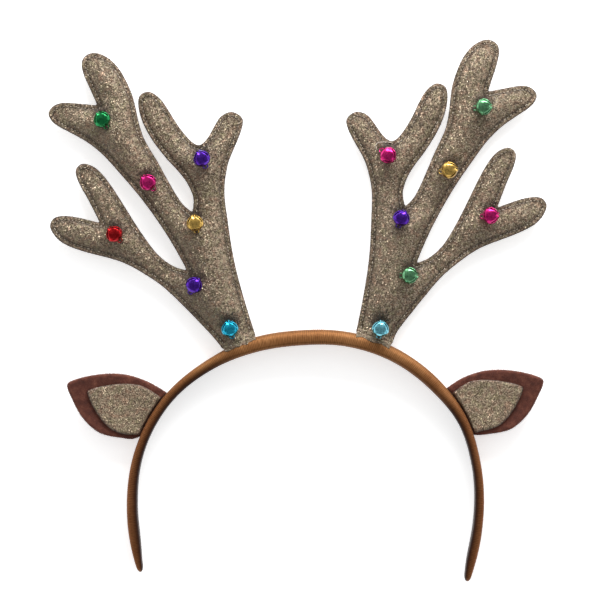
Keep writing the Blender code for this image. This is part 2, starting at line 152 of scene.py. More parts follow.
def point_values(mesh, name, values):
    """A number kept at each of a mesh's points, for its material and for what grows on it."""
    kept = mesh.attributes.new(name, "FLOAT", "POINT")
    kept.data.foreach_set("value", values.ravel().astype(np.float32))


def new_material(name):
    """A material's tree with its Principled BSDF, both ready for more nodes."""
    material = bpy.data.materials.new(name)
    material.use_nodes = True
    tree = material.node_tree
    return material, tree, tree.nodes["Principled BSDF"]


def feed(tree, node, **inputs):
    """Inputs of a node, by name or number: each is linked to a socket or set to a value."""
    for name, value in inputs.items():
        socket = node.inputs[int(name) if name.isdigit() else name.replace("_", " ").title()]
        if isinstance(value, bpy.types.NodeSocket):
            tree.links.new(value, socket)
        else:
            socket.default_value = value


def add(tree, kind, **settings):
    """A new node with some of its properties set, and its inputs, whose names start with in_."""
    node = tree.nodes.new(kind)
    for name, value in settings.items():
        if name.startswith("in_"):
            feed(tree, node, **{name[3:]: value})
        else:
            setattr(node, name, value)
    return node


def ramp(tree, stops, source):
    """A colour ramp with these (position, colour) stops, fed from source."""
    node = tree.nodes.new("ShaderNodeValToRGB")
    elements = node.color_ramp.elements
    while len(elements) < len(stops):
        elements.new(0.5)
    for element, (position, colour) in zip(elements, stops):
        element.position = position
        element.color = (*colour, 1)
    tree.links.new(source, node.inputs["Fac"])
    return node.outputs["Color"]


def multiplied(tree, colour, other, share=1.0):
    """A colour multiplied by another one, as far as the share says."""
    node = add(tree, "ShaderNodeMix", data_type="RGBA", blend_type="MULTIPLY",
               in_factor=share, in_a=colour, in_b=other)
    return node.outputs["Result"]


def noise(tree, place, scale, detail=2.0, **settings):
    """Grey noise over these coordinates."""
    node = add(tree, "ShaderNodeTexNoise", in_vector=place, in_scale=scale, in_detail=detail, **settings)
    return node.outputs["Fac"]


def kept_value(tree, attribute):
    """A number that the mesh keeps at its points."""
    return add(tree, "ShaderNodeAttribute", attribute_name=attribute).outputs["Fac"]


def maths(tree, operation, *numbers):
    """What a sum makes of these numbers, each a value or a socket."""
    node = add(tree, "ShaderNodeMath", operation=operation)
    feed(tree, node, **{str(place): number for place, number in enumerate(numbers)})
    return node.outputs[0]


def ranged(tree, value, low, high, start, end):
    """A number that goes from start to end as the value goes from low to high."""
    node = add(tree, "ShaderNodeMapRange", in_0=value, in_1=low, in_2=high, in_3=start, in_4=end)
    return node.outputs[0]


def relief(tree, height, strength, distance, **settings):
    """A surface direction with this height worked into it."""
    node = add(tree, "ShaderNodeBump", in_height=height, in_strength=strength, in_distance=distance,
               **settings)
    return node.outputs[0]


def satin_ribbon_material():
    """Caramel satin: fine threads along each turn, with painted shade that darkens it between turns, inside
    and toward the ends.
    """
    material, tree, shader = new_material("satin ribbon")
    uv = add(tree, "ShaderNodeUVMap", uv_map="wound").outputs["UV"]
    stretch = add(tree, "ShaderNodeMapping", in_vector=uv, in_scale=(2200, 260, 1))
    threads = noise(tree, stretch.outputs[0], 1.0, 3.0)
    patches = add(tree, "ShaderNodeMapping", in_vector=uv, in_scale=(60, 30, 1))
    wear = noise(tree, patches.outputs[0], 1.0)
    colour = ramp(tree, (
        (0.30, (0.150, 0.056, 0.017)),
        (0.52, (0.245, 0.106, 0.036)),
        (0.75, (0.355, 0.172, 0.066)),
    ), maths(tree, "MULTIPLY_ADD", wear, 0.5, maths(tree, "MULTIPLY", threads, 0.55)))
    for attribute, tone in (
        # Painted shade in the gaps between turns.
        ("between_turns_shade", (0.22, 0.13, 0.09)),
        # Painted shade toward the band's ends.
        ("end_painted_shade", (0.84, 0.74, 0.78)),
        # Painted shade toward the band's inner edge.
        ("inner_painted_shade", (0.12, 0.08, 0.065)),
    ):
        colour = multiplied(tree, colour, (*tone, 1), kept_value(tree, attribute))
    feed(tree, shader, base_color=colour, roughness=ranged(tree, threads, 0, 1, 0.36, 0.58),
         normal=relief(tree, threads, 0.5, 0.00006), metallic=0.45)
    shader.inputs["Specular IOR Level"].default_value = 0.1
    return material


def wound_band(name, material):
    """The hoop with its winding: every turn is a low rounded ridge that climbs as it goes round."""
    first, last = band_curve[0, 0], band_curve[-1, 0]
    length = math.radians(last - first) * BAND_MEAN_RADIUS
    count = round(length / TURN_PITCH * TURN_SAMPLES)
    angle = np.linspace(first, last, count)
    outer = band_outer_radius(angle)
    thick = np.interp(angle, band_curve[:, 0], band_curve[:, 2]) * MM
    along = np.radians(angle - first) * outer
    reach = np.radians(np.minimum(angle - first, last - angle)) * outer
    fullness = np.minimum(1.0, (reach + BAND_TIP) / BAND_END_ROUNDING)
    rounding = np.sqrt(1 - (1 - fullness) ** 2)
    width = BAND_END_WIDTH + (BAND_WIDTH - BAND_END_WIDTH) * np.minimum(1.0, reach / BAND_END_TAPER)
    outer = outer - thick * (1 - rounding) / 2
    thick = thick * rounding
    width = width * rounding
    back_z = (BAND_WIDTH - width) / 2
    back = np.minimum(BAND_BACK_CORNER, BAND_BACK_SHARE * thick)
    front = np.minimum(BAND_FRONT_CORNER, BAND_FRONT_SHARE * thick)
    crown = np.clip((thick - CROWN_THICKNESS) / CROWN_BLEND, 0, 1)
    outer_front = front + crown * (CROWN_PEAK * thick - front)
    inner_front = front + crown * ((1 - CROWN_FLAT - CROWN_PEAK) * thick - front)
    corners = (
        # depth, height, corner's reach in depth, corner's reach in height, start_deg
        (back, back, back, back, 180),
        (thick - back, back, back, back, 270),
        (thick - inner_front, width - front, inner_front, front, 0),
        (outer_front, width - front, outer_front, front, 90),
    )
    depths, heights, ways = [], [], []
    for number, (depth, height, deep, high, start) in enumerate(corners):
        for turn in CORNER_TURNS_DEG:
            way = math.radians(start + turn)
            depths.append(depth + deep * math.cos(way))
            heights.append(height + high * math.sin(way))
            ways.append(way)
        if number % 2 == 1:
            onward = corners[(number + 1) % 4]
            leave = (depths[-1], heights[-1])
            arrive = (onward[0] + onward[2] * math.cos(way), onward[1] + onward[3] * math.sin(way))
            for share in (0.25, 0.5, 0.75):
                depths.append(leave[0] * (1 - share) + arrive[0] * share)
                heights.append(leave[1] * (1 - share) + arrive[1] * share)
                ways.append(way)
    depths, heights, ways = np.array(depths), np.array(heights), np.array(ways)
    sides = len(ways)
    middle = count // 2
    steps = np.hypot(np.diff(depths[:, middle], append=depths[0, middle]),
                     np.diff(heights[:, middle], append=heights[0, middle]))
    around = np.concatenate([[0], np.cumsum(steps)])
    share = around[:-1] / around[-1]

    phase = along[None, :] / TURN_PITCH + share[:, None]
    turns = np.random.default_rng(TURN_SEED).uniform(*TURN_FULLNESS, int(phase.max()) + 1)
    ridge = np.abs(np.sin(np.pi * phase)) ** RIDGE_POWER
    full = ridge * turns[np.floor(phase).astype(int)] / TURN_FULLNESS[1]
    lift = TURN_DEPTH * (full - 1) * rounding[None, :]
    depths = depths + lift * np.cos(ways)[:, None]
    heights = heights + lift * np.sin(ways)[:, None]
    radius = outer[None, :] - depths
    turn = np.radians(angle)[None, :]
    points = np.stack([radius * np.cos(turn), ARCH_CENTRE_Y + radius * np.sin(turn),
                       back_z[None, :] + heights], axis=-1)
    points = points.transpose(1, 0, 2).reshape(-1, 3)

    ring = np.arange(count - 1)[:, None] * sides
    side = np.arange(sides)[None, :]
    after = (side + 1) % sides
    faces = np.stack([ring + side, ring + sides + side, ring + sides + after, ring + after], axis=-1)
    faces = [tuple(f) for f in faces.reshape(-1, 4).tolist()]
    faces.append(tuple(range(sides)))
    faces.append(tuple(range(count * sides - 1, (count - 1) * sides - 1, -1)))
    band = mesh_object(name, points, faces, material)
    mesh = band.data

    uv = mesh.uv_layers.new(name="wound")
    corner_vertex = np.zeros(len(mesh.loops), int)
    mesh.loops.foreach_get("vertex_index", corner_vertex)
    u = along[corner_vertex // sides]
    v = around[:-1][corner_vertex % sides]
    seam = np.zeros(len(mesh.loops), bool)
    for polygon in mesh.polygons:
        members = corner_vertex[polygon.loop_start:polygon.loop_start + polygon.loop_total] % sides
        if polygon.loop_total == 4 and members.max() == sides - 1 and members.min() == 0:
            seam[polygon.loop_start:polygon.loop_start + 4] = members == 0
    v = np.where(seam, around[-1], v)
    uv.data.foreach_set("uv", np.stack([u, v], axis=-1).astype(np.float32).ravel())

    # Painted shade: the colour darkens toward the band's inner edge, less at the crown.
    inward = depths / np.maximum(thick, 1e-6)[None, :]
    inner_painted_shade = np.clip((inward - INNER_SHADE_FROM) / INNER_SHADE_BLEND, 0, 1) * (1 - CROWN_LIT * crown[None, :])
    # Painted shade: the colour darkens toward both ends of the band.
    end_painted_shade = np.clip((np.abs(angle - 90) - END_SHADE_DEG) / END_SHADE_BLEND_DEG, 0, 1)
    # Painted shade: the colour darkens in the gaps between turns.
    point_values(mesh, "between_turns_shade", (1 - ridge).T ** 2)
    point_values(mesh, "inner_painted_shade", inner_painted_shade.T)
    point_values(mesh, "end_painted_shade", np.repeat(end_painted_shade[:, None], sides, axis=1))
    return band


band = wound_band("headband_winding", satin_ribbon_material())
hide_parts("headband")
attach(band, "root")


# Each antler is two layers of glitter cloth, sewn together inside a narrow raw flange and stuffed,
# with foil flakes standing off the cloth. Its open foot is glued to the top of the headband, where
# the cloth's turned ends make a ragged hem over the band's shoulders.
MIDDLE_Z = BAND_WIDTH / 2
RAY_START = 0.05
WELD = 0.000002
FACES_FRONT = 0.35
CLOTH_STEP = 0.00125
CLOSEST_SHARE = 0.42
RING_DEPTHS = (0.0004, 0.0011, 0.0017, 0.0020, 0.0024, 0.0031)
NEAR_RIM = 0.0003
FORK_DEG = 58
FAN_DEG = 14
TRUE_OFFSET = 0.97
FLANGE = 0.0020
FLANGE_DEPTHS = (0, 0.0004, 0.0011, 0.0016, FLANGE)
FLANGE_HALVES = (0.00040, 0.00058, 0.00062, 0.00050, 0.00030)
SEAM_REACH = 0.0001
LAYER_GROOVE = 0.00028
FOOT_POINTS = 15
FOOT_CLEARANCE = 0.0003
ON_ARCH = 0.0006
EVEN_ROUNDS = 14
CREASE_ROUNDS = 12
FILL_PRESSURE = 3.0
FILL_CAP = 0.0007
SIMULATION_SCALE = 20
SIMULATION_FRAMES = 20
BELL_PINNED = 0.0011
# Painted shade round each bell, strongest above it: its reach across and up, how far above the bell it
# centres, and its strength and falloff.
BELL_SHADE_SPREAD = (0.0046, 0.0042)
BELL_SHADE_ABOVE = 0.0029
BELL_SHADE_DEPTH, BELL_SHADE_POWER = 1.35, 1.1
STITCH_LIFT = 0.00006
STITCH_SIZES = (0.65, 1.15)
FLAKE_LEAN = 0.6
FLAKE_SIZES = (0.55, 1.25)
SEAM_BREAK = 0.003
HEM_OVER_BAND = 0.0014
HEM_UP_ANTLER = 0.0026
HEM_BACK_SHARE = 0.6
HEM_RAGGED = 0.22
HEM_RAGGED_WEIGHTS = (0.2, 0.3, 0.5, 0.6, 0.5, 0.3, 0.2)
HEM_INSET_DEG = 0.35
HEM_FILL_ROUNDS = 3
HEM_ROWS, HEM_COLUMNS = 44, 13
HEM_LIFTS = (0.00008, 0.00030, 0.00042, 0.00040, 0.00012)
HEM_UNDERSIDE = (-0.0001, 0, 0.00006, 0.00004)
HEM_SEEDS = {"left": 21, "right": 34}
HEM_OFF_TABLE = (0.00005, 0.0001)
BELLS = {
    # side: colour, x_mm, y_mm and loop_direction_deg of each bell, from the foot up
    "left": (
        ("turquoise", -33.2, 4.4, -74),
        ("violet", -48.6, 23.5, -120),
        ("gold", -48.4, 50.6, -80),
        ("violet", -45.5, 78.8, -65),
        ("magenta", -69.1, 68.4, -50),
        ("green", -89.1, 95.9, -60),
        ("red", -83.8, 45.8, -50),
    ),
    "right": (
        ("turquoise", 32.8, 4.4, -100),
        ("sea_green", 45.8, 27.5, 180),
        ("violet", 42.0, 52.8, -110),
        ("magenta", 36.3, 79.9, 140),
        ("gold", 63.1, 73.7, 190),
        ("sea_green", 78.1, 101.2, 185),
        ("magenta", 81.2, 53.7, 185),
    ),
}


def rim_of(node):
    """The line round the front of a flat CAD piece's edge wall, anticlockwise from the front."""
    welded = bmesh.new()
    welded.from_mesh(node.data)
    bmesh.ops.remove_doubles(welded, verts=welded.verts, dist=WELD)
    welded.normal_update()
    follow = {}
    for edge in welded.edges:
        flat = [face for face in edge.link_faces if face.normal.z > FACES_FRONT]
        if len(edge.link_faces) == 2 and len(flat) == 1:
            corner = next(loop for loop in flat[0].loops if loop.edge == edge)
            follow[corner.vert] = corner.link_loop_next.vert
    start = next(iter(follow))
    rim, here = [start.co.copy()], follow[start]
    while here != start:
        rim.append(here.co.copy())
        here = follow[here]
    welded.free()
    return np.array(rim)


def turn_angles(loop):
    """How far a closed outline turns at each point, in degrees, positive to the left."""
    into = loop[:, :2] - np.roll(loop[:, :2], 1, axis=0)
    out = np.roll(into, -1, axis=0)
    cross = into[:, 0] * out[:, 1] - into[:, 1] * out[:, 0]
    return np.degrees(np.arctan2(cross, (into * out).sum(axis=1)))


def distance_to_path(points, path):
    """Shortest distance from each 2-D point to an open path."""
    starts, steps = path[:-1], np.diff(path, axis=0)
    lengths = np.maximum((steps**2).sum(axis=1), 1e-18)
    found = np.full(len(points), np.inf)
    for start, step, length in zip(starts, steps, lengths):
        share = np.clip(((points - start) @ step) / length, 0, 1)
        gap = points - start - share[:, None] * step
        found = np.minimum(found, (gap**2).sum(axis=1))
    return np.sqrt(found)


def inside(points, loop):
    """Which 2-D points lie inside a closed outline."""
    found = np.zeros(len(points), bool)
    for (x0, y0), (x1, y1) in zip(loop, np.roll(loop, -1, axis=0)):
        if y0 != y1:
            crosses = (points[:, 1] > y0) != (points[:, 1] > y1)
            found ^= crosses & (points[:, 0] < x0 + (points[:, 1] - y0) * (x1 - x0) / (y1 - y0))
    return found


def offset_points(path, depth):
    """Points at this depth inside an open path that runs anticlockwise round a piece."""
    steps = np.diff(path, axis=0)
    ways = steps / np.maximum(np.linalg.norm(steps, axis=1), 1e-12)[:, None]
    normals = np.stack([-ways[:, 1], ways[:, 0]], axis=1)
    spots = []
    for point, before, after in zip(path[1:-1], normals, normals[1:]):
        spread = max(1, round(math.degrees(math.acos(np.clip(before @ after, -1, 1))) / FAN_DEG))
        for share in (np.arange(spread) + 0.5) / spread:
            way = before * (1 - share) + after * share
            spots.append(point + depth * way / max(np.linalg.norm(way), 1e-9))
    spots = np.array(spots)
    return spots[distance_to_path(spots, path) > depth * TRUE_OFFSET]


def thinned(groups, closest):
    """Groups of 2-D points one after another, without those closer than this to an earlier one."""
    kept = []
    cells = {}
    for points in groups:
        for x, y in points:
            cell = (int(x // closest), int(y // closest))
            around = [(cell[0] + i, cell[1] + j) for i in (-1, 0, 1) for j in (-1, 0, 1)]
            near = [other for place in around for other in cells.get(place, ())]
            if all((x - other[0]) ** 2 + (y - other[1]) ** 2 > closest**2 for other in near):
                cells.setdefault(cell, []).append((x, y))
                kept.append((x, y))
    return np.array(kept)


def hexagonal_grid(loop, step):
    """Points a step apart in rows inside a closed outline."""
    low, high = loop.min(axis=0), loop.max(axis=0)
    rows = np.arange(low[1], high[1], step * math.sqrt(0.75))
    points = []
    for number, y in enumerate(rows):
        xs = np.arange(low[0] + (number % 2) * step / 2, high[0], step)
        points.append(np.stack([xs, np.full(len(xs), y)], axis=1))
    points = np.vstack(points)
    return points[inside(points, loop)]


def flat_net(outline, fill):
    """Points with the outline's first, the triangles between them, facing front, and their area."""
    rim = len(outline)
    edges = [(i, (i + 1) % rim) for i in range(rim)]
    spots = [Vector(p / MM) for p in np.vstack([outline, fill])]
    made = delaunay_2d_cdt(spots, edges, [], 1, 0.0001)
    points = np.array([tuple(v) for v in made[0]]) * MM
    triangles = np.array([tuple(f) for f in made[2] if len(f) == 3])
    a, b, c = (points[triangles[:, corner]] for corner in range(3))
    area = (b[:, 0] - a[:, 0]) * (c[:, 1] - a[:, 1]) - (b[:, 1] - a[:, 1]) * (c[:, 0] - a[:, 0])
    triangles = np.where((area < 0)[:, None], triangles[:, ::-1], triangles)
    return points, triangles, 0.5 * np.abs(area).sum()


def front_and_back(triangles, count):
    """The same triangles on a front layer of points and, turned over, on the back layer after it."""
    faces = [tuple(t) for t in triangles.tolist()]
    return faces + [tuple(i + count for i in reversed(t)) for t in faces]


def surface_tree(*pieces):
    """The surface of these pieces for ray casts."""
    corners, faces = [], []
    for piece in pieces:
        start = len(corners)
        corners += [v.co.copy() for v in piece.data.vertices]
        faces += [[start + i for i in p.vertices] for p in piece.data.polygons]
    return BVHTree.FromPolygons(corners, faces)


def height_on(tree, x, y, way=1, missed=MIDDLE_Z):
    """The height where a surface is met from the front, or with way -1 from the back."""
    hit = tree.ray_cast(Vector((x, y, RAY_START * way)), Vector((0, 0, -way)))[0]
    return hit.z if hit else missed


def gaps_filled(points, heights):
    """Heights whose missing ones are taken from the nearest point that has one."""
    heights = np.array(heights)
    missed = np.isnan(heights)
    if missed.any():
        seen = KDTree(int((~missed).sum()))
        for i in np.flatnonzero(~missed):
            seen.insert((*points[i], 0), int(i))
        seen.balance()
        for i in np.flatnonzero(missed):
            heights[i] = heights[seen.find((*points[i], 0))[1]]
    return heights


def smoothed_heights(heights, triangles, fixed, rounds):
    """Heights evened out with their neighbours, apart from the fixed ones."""
    edges = np.vstack([triangles[:, (0, 1)], triangles[:, (1, 2)], triangles[:, (2, 0)]])
    edges = np.vstack([edges, edges[:, ::-1]])
    count = np.bincount(edges[:, 0], minlength=len(heights))
    for _ in range(rounds):
        total = np.bincount(edges[:, 0], weights=heights[edges[:, 1]], minlength=len(heights))
        heights = np.where(fixed, heights, total / np.maximum(count, 1))
    return heights


def node_tree(name, kind, inputs, outputs):
    """A node tree with these named inputs and outputs, and the node its inputs come from."""
    tree = bpy.data.node_groups.new(name, kind)
    for label, socket, value in inputs:
        item = tree.interface.new_socket(label, in_out="INPUT", socket_type=socket)
        if value is not None:
            item.default_value = value
    for label, socket in outputs:
        tree.interface.new_socket(label, in_out="OUTPUT", socket_type=socket)
    return tree, tree.nodes.new("NodeGroupInput")


def soiling_group():
    """Colour darkened at the raw edge, and with painted shade in the sewn groove beside it and above the
    bells.
    """
    group, given = node_tree(
        "dark edge and painted groove and bell shade",
        "ShaderNodeTree",
        (
            ("Colour", "NodeSocketColor", (0.5, 0.5, 0.5, 1)),
            ("Edge Distance", "NodeSocketFloat", 0.0013),
            ("Shade", "NodeSocketFloat", 0.0),
        ),
        [("Colour", "NodeSocketColor")],
    )
    # Darker at the raw edge; the dip around 2 mm in is painted shade in the sewn groove.
    edge = ramp(group, (
        (0.00, (0.38, 0.33, 0.38)),
        (0.15, (0.84, 0.81, 0.84)),
        (0.33, (1.00, 1.00, 1.00)),
        (0.43, (0.52, 0.49, 0.48)),
        (0.53, (0.34, 0.31, 0.30)),
        (0.66, (0.72, 0.70, 0.68)),
        (0.85, (1.00, 1.00, 1.00)),
    ), ranged(group, given.outputs["Edge Distance"], 0, 0.004, 0, 1))
    edged = multiplied(group, given.outputs["Colour"], edge)
    # Painted shade above the bells.
    shaded = multiplied(group, edged, (0.14, 0.11, 0.09, 1), given.outputs["Shade"])
    add(group, "NodeGroupOutput", in_colour=shaded)
    return group


edge_and_bell_shade = soiling_group()


def soiled(tree, colour):
    """A colour in this material's tree with the cloth's darker raw edge and the painted shade in its groove
    and above the bells.
    """
    node = add(tree, "ShaderNodeGroup", node_tree=edge_and_bell_shade, in_colour=colour,
               in_edge_distance=kept_value(tree, "edge_distance"),
               in_shade=kept_value(tree, "bell_shade"))
    return node.outputs["Colour"]


def at_point(tree):
    """Where a shown point is on its object."""
    return add(tree, "ShaderNodeTexCoord").outputs["Object"]


def glitter_group():
    """Glitter cloth as colours and masks: flakes with their own tint and tilt on a woolly ground."""
    group, given = node_tree(
        "glitter cloth",
        "ShaderNodeTree",
        (
            ("Flake Size", "NodeSocketFloat", 0.00045),
            ("Tilt", "NodeSocketFloat", 0.5),
            ("Brightness", "NodeSocketFloat", 1.0),
        ),
        (
            ("Colour", "NodeSocketColor"),
            ("Roughness", "NodeSocketFloat"),
            ("Metallic", "NodeSocketFloat"),
            ("Normal", "NodeSocketVector"),
            ("Height", "NodeSocketFloat"),
        ),
    )
    place = at_point(group)
    scale = maths(group, "DIVIDE", 1.0, given.outputs["Flake Size"])
    flakes = add(group, "ShaderNodeTexVoronoi", in_vector=place, in_scale=scale)
    tint = add(group, "ShaderNodeSeparateColor", in_color=flakes.outputs["Color"])

    wool = maths(group, "MULTIPLY_ADD", noise(group, place, 900.0, 3.0, in_roughness=0.6), 0.55, 0.075)
    flake_tone = maths(group, "MULTIPLY_ADD", tint.outputs["Red"], 0.50, wool)
    tone = maths(group, "MULTIPLY_ADD", noise(group, place, 95.0, 3.0), 0.15, flake_tone)
    ground = ramp(group, (
        (0.36, (0.050, 0.034, 0.022)),
        (0.56, (0.130, 0.092, 0.059)),
        (0.74, (0.196, 0.146, 0.096)),
        (0.93, (0.330, 0.264, 0.186)),
    ), tone)
    tinge = ramp(group, (
        (0.30, (1.06, 0.90, 0.86)),
        (0.48, (1.0, 1.0, 1.0)),
        (0.70, (0.92, 1.00, 0.86)),
    ), noise(group, place, 420.0))
    bright = add(group, "ShaderNodeVectorMath", operation="SCALE",
                 in_0=multiplied(group, ground, tinge), in_scale=given.outputs["Brightness"])

    lean = add(group, "ShaderNodeVectorMath", operation="SUBTRACT", in_0=flakes.outputs["Color"],
               in_1=(0.5, 0.5, 0.5))
    leaned = add(group, "ShaderNodeVectorMath", operation="SCALE", in_0=lean.outputs[0],
                 in_scale=given.outputs["Tilt"])
    surface = add(group, "ShaderNodeNewGeometry")
    added = add(group, "ShaderNodeVectorMath", operation="ADD", in_0=surface.outputs["Normal"],
                in_1=leaned.outputs[0])
    normal = add(group, "ShaderNodeVectorMath", operation="NORMALIZE", in_0=added.outputs[0])
    add(group, "NodeGroupOutput", in_colour=bright.outputs[0],
        in_metallic=ranged(group, tint.outputs["Green"], 0.62, 0.70, 0.08, 0.55),
        in_roughness=ranged(group, tint.outputs["Blue"], 0.2, 0.9, 0.34, 0.62),
        in_normal=normal.outputs[0], in_height=tone)
    return group


glitter_cloth = glitter_group()


def glitter_material(name, flake_size, brightness):
    """Brown glitter cloth, from the shared groups."""
    material, tree, shader = new_material(name)
    cloth = add(tree, "ShaderNodeGroup", node_tree=glitter_cloth, in_flake_size=flake_size,
                in_tilt=0.85, in_brightness=brightness)
    # The cloth's colour takes the darker raw edge and the painted shade of the groove and round the bells.
    feed(tree, shader, base_color=soiled(tree, cloth.outputs["Colour"]),
         metallic=cloth.outputs["Metallic"], roughness=cloth.outputs["Roughness"],
         normal=relief(tree, cloth.outputs["Height"], 0.7, 0.00018, in_normal=cloth.outputs["Normal"]))
    return material


antler_cloth = glitter_material("glitter cloth", flake_size=0.00046, brightness=1.03)


def geometry_tree(name, *numbers):
    """A Geometry Nodes tree that starts from a mesh and has these named numbers as inputs too."""
    mesh = ("Geometry", "NodeSocketGeometry")
    return node_tree(name, "GeometryNodeTree", ((*mesh, None), *numbers), [mesh])


def spread_over(tree, given, shape, lean_by):
    """Copies of a shape all over the tree's mesh, each turned at random and leaning up to lean_by."""
    spread = add(tree, "GeometryNodeDistributePointsOnFaces", in_mesh=given.outputs["Geometry"],
                 in_density=given.outputs["Density"], in_seed=given.outputs["Seed"])
    lean = add(tree, "FunctionNodeRandomValue", data_type="FLOAT_VECTOR",
               in_min=(-lean_by, -lean_by, 0.0), in_max=(lean_by, lean_by, 6.28))
    turn = add(tree, "FunctionNodeRotateRotation", rotation_space="LOCAL",
               in_rotation=spread.outputs["Rotation"], in_rotate_by=lean.outputs["Value"])
    place = add(tree, "GeometryNodeInstanceOnPoints", in_points=spread.outputs["Points"],
                in_instance=shape.outputs["Mesh"], in_rotation=turn.outputs["Rotation"])
    return place


def varied(tree, place, low, high, seed):
    """Lets instances differ in size between these two scales."""
    size = add(tree, "FunctionNodeRandomValue", data_type="FLOAT", in_2=low, in_3=high, in_seed=seed)
    feed(tree, place, scale=size.outputs[1])


def tinted(tree, place, attribute, seed):
    """Instances that each carry their own random tint, a number from 0 to 1."""
    tint = add(tree, "FunctionNodeRandomValue", data_type="FLOAT", in_seed=seed)
    keep = add(tree, "GeometryNodeStoreNamedAttribute", data_type="FLOAT", domain="INSTANCE",
               in_name=attribute, in_geometry=place.outputs["Instances"], in_value=tint.outputs[1])
    return keep.outputs["Geometry"]


def finished(tree, instances, material):
    """The tree's end: its instances made real and given their material."""
    real = add(tree, "GeometryNodeRealizeInstances", in_geometry=instances)
    finish = add(tree, "GeometryNodeSetMaterial", in_geometry=real.outputs["Geometry"],
                 in_material=material)
    add(tree, "NodeGroupOutput", in_geometry=finish.outputs["Geometry"])
    return tree


def flake_tree(material):
    """Flakes that stand proud of the cloth: thin closed lozenges, each with its own tint and tilt."""
    tree, given = geometry_tree(
        "standing flakes",
        ("Density", "NodeSocketFloat", 1400000.0),
        ("Flake Radius", "NodeSocketFloat", 0.00022),
        ("Seed", "NodeSocketInt", 3),
    )
    flake = add(tree, "GeometryNodeMeshCone", fill_type="NGON", in_vertices=4, in_radius_top=0.0,
                in_depth=0.00004, in_radius_bottom=given.outputs["Flake Radius"])
    place = spread_over(tree, given, flake, FLAKE_LEAN)
    varied(tree, place, *FLAKE_SIZES, seed=5)
    return finished(tree, tinted(tree, place, "flake_tint", seed=11), material)


def settled(piece):
    """A piece whose modifiers have become its own plain mesh."""
    depsgraph = bpy.context.evaluated_depsgraph_get()
    mesh = bpy.data.meshes.new_from_object(piece.evaluated_get(depsgraph), depsgraph=depsgraph)
    piece.modifiers.clear()
    piece.data = mesh
    return piece


def grown(name, source, tree, **values):
    """What a Geometry Nodes tree makes of an object's mesh, as a plain object of its own."""
    carrier = placed(name, source.data.copy())
    modifier = carrier.modifiers.new(tree.name, "NODES")
    modifier.node_group = tree
    for item in tree.interface.items_tree:
        if item.item_type == "SOCKET" and item.in_out == "INPUT" and item.name in values:
            modifier[item.identifier] = values[item.name]
    bpy.context.view_layer.update()
    settled(carrier)
    carrier.data.name = name
    return carrier


def flake_material():
    """Foil flakes, from pale champagne to bronze."""
    material, tree, shader = new_material("foil flake")
    tint = kept_value(tree, "flake_tint")
    colour = ramp(tree, (
        (0.0, (0.115, 0.075, 0.048)),
        (0.45, (0.225, 0.165, 0.112)),
        (0.66, (0.28, 0.23, 0.155)),
        (0.84, (0.38, 0.31, 0.225)),
        (1.0, (0.78, 0.71, 0.58)),
    ), tint)
    # The flakes take the same darker edge and painted shade as the cloth under them.
    feed(tree, shader, base_color=soiled(tree, colour), metallic=0.85,
         roughness=ranged(tree, tint, 0, 1, 0.22, 0.45))
    return material


standing_flakes = flake_tree(flake_material())


def antler_outline(side):
    """The antler's sewn edge and its foot as 2-D paths, anticlockwise, from the CAD piece's rim."""
    rim = rim_of(nodes[f"antler_{side}"])[:, :2]
    _, reach, angle = round_arch(rim)
    on_arch = np.abs(reach - band_outer_radius(angle)) < ON_ARCH
    start = next(i for i in range(len(rim)) if on_arch[i] and not on_arch[(i + 1) % len(rim)])
    rim, on_arch = np.roll(rim, -start, axis=0), np.roll(on_arch, -start)
    end = max(i for i in range(len(rim)) if not on_arch[i]) + 1
    turns = turn_angles(rim)
    corners = [0] + [i for i in range(1, end) if turns[i] < -FORK_DEG] + [end]
    sewn = []
    for a, b in zip(corners, corners[1:]):
        stretch = rim[a:b + 1] / MM
        sewn.extend(smooth_curve(stretch, CLOTH_STEP / MM)[:None if b == end else -1] * MM)
    foot = np.vstack([rim[end:], rim[:1]])
    return np.array(sewn), foot


def antler_mesh(side):
    """Both layers on one fine net of points, with how far each point is from the sewn edge."""
    sewn, foot = antler_outline(side)
    foot_fine = np.array([foot[0] * (1 - t) + foot[-1] * t for t in np.linspace(0, 1, FOOT_POINTS)])
    way, reach, angle = round_arch(foot_fine)
    clear = band_outer_radius(angle) + FOOT_CLEARANCE
    foot_fine = (0, ARCH_CENTRE_Y) + way / reach[:, None] * clear[:, None]
    outline = np.vstack([sewn, foot_fine[1:-1]])
    rings = []
    for depth in RING_DEPTHS:
        ring = offset_points(sewn, depth)
        rings.append(ring[inside(ring, outline)])
    grid = hexagonal_grid(outline, CLOTH_STEP)
    grid = grid[distance_to_path(grid, sewn) > RING_DEPTHS[-1] + 0.5 * CLOTH_STEP]
    grid = grid[distance_to_path(grid, foot_fine) > 0.5 * CLOTH_STEP]
    closed = np.vstack([outline, outline[:1]])
    fill = thinned([outline, *rings, grid], CLOTH_STEP * CLOSEST_SHARE)
    fill = fill[distance_to_path(fill, closed) > NEAR_RIM]
    points, triangles, _ = flat_net(outline, fill)

    edge_distance = distance_to_path(points, sewn)
    tree = surface_tree(nodes[f"antler_{side}"])
    fronts = [height_on(tree, x, y, missed=math.nan) - MIDDLE_Z for x, y in points]
    sewn_flat = edge_distance < FLANGE + SEAM_REACH
    heights = smoothed_heights(gaps_filled(points, fronts), triangles, sewn_flat, EVEN_ROUNDS)
    heights = np.where(sewn_flat, np.interp(edge_distance, FLANGE_DEPTHS, FLANGE_HALVES), heights)
    return points, triangles, heights, edge_distance, len(outline), len(sewn)


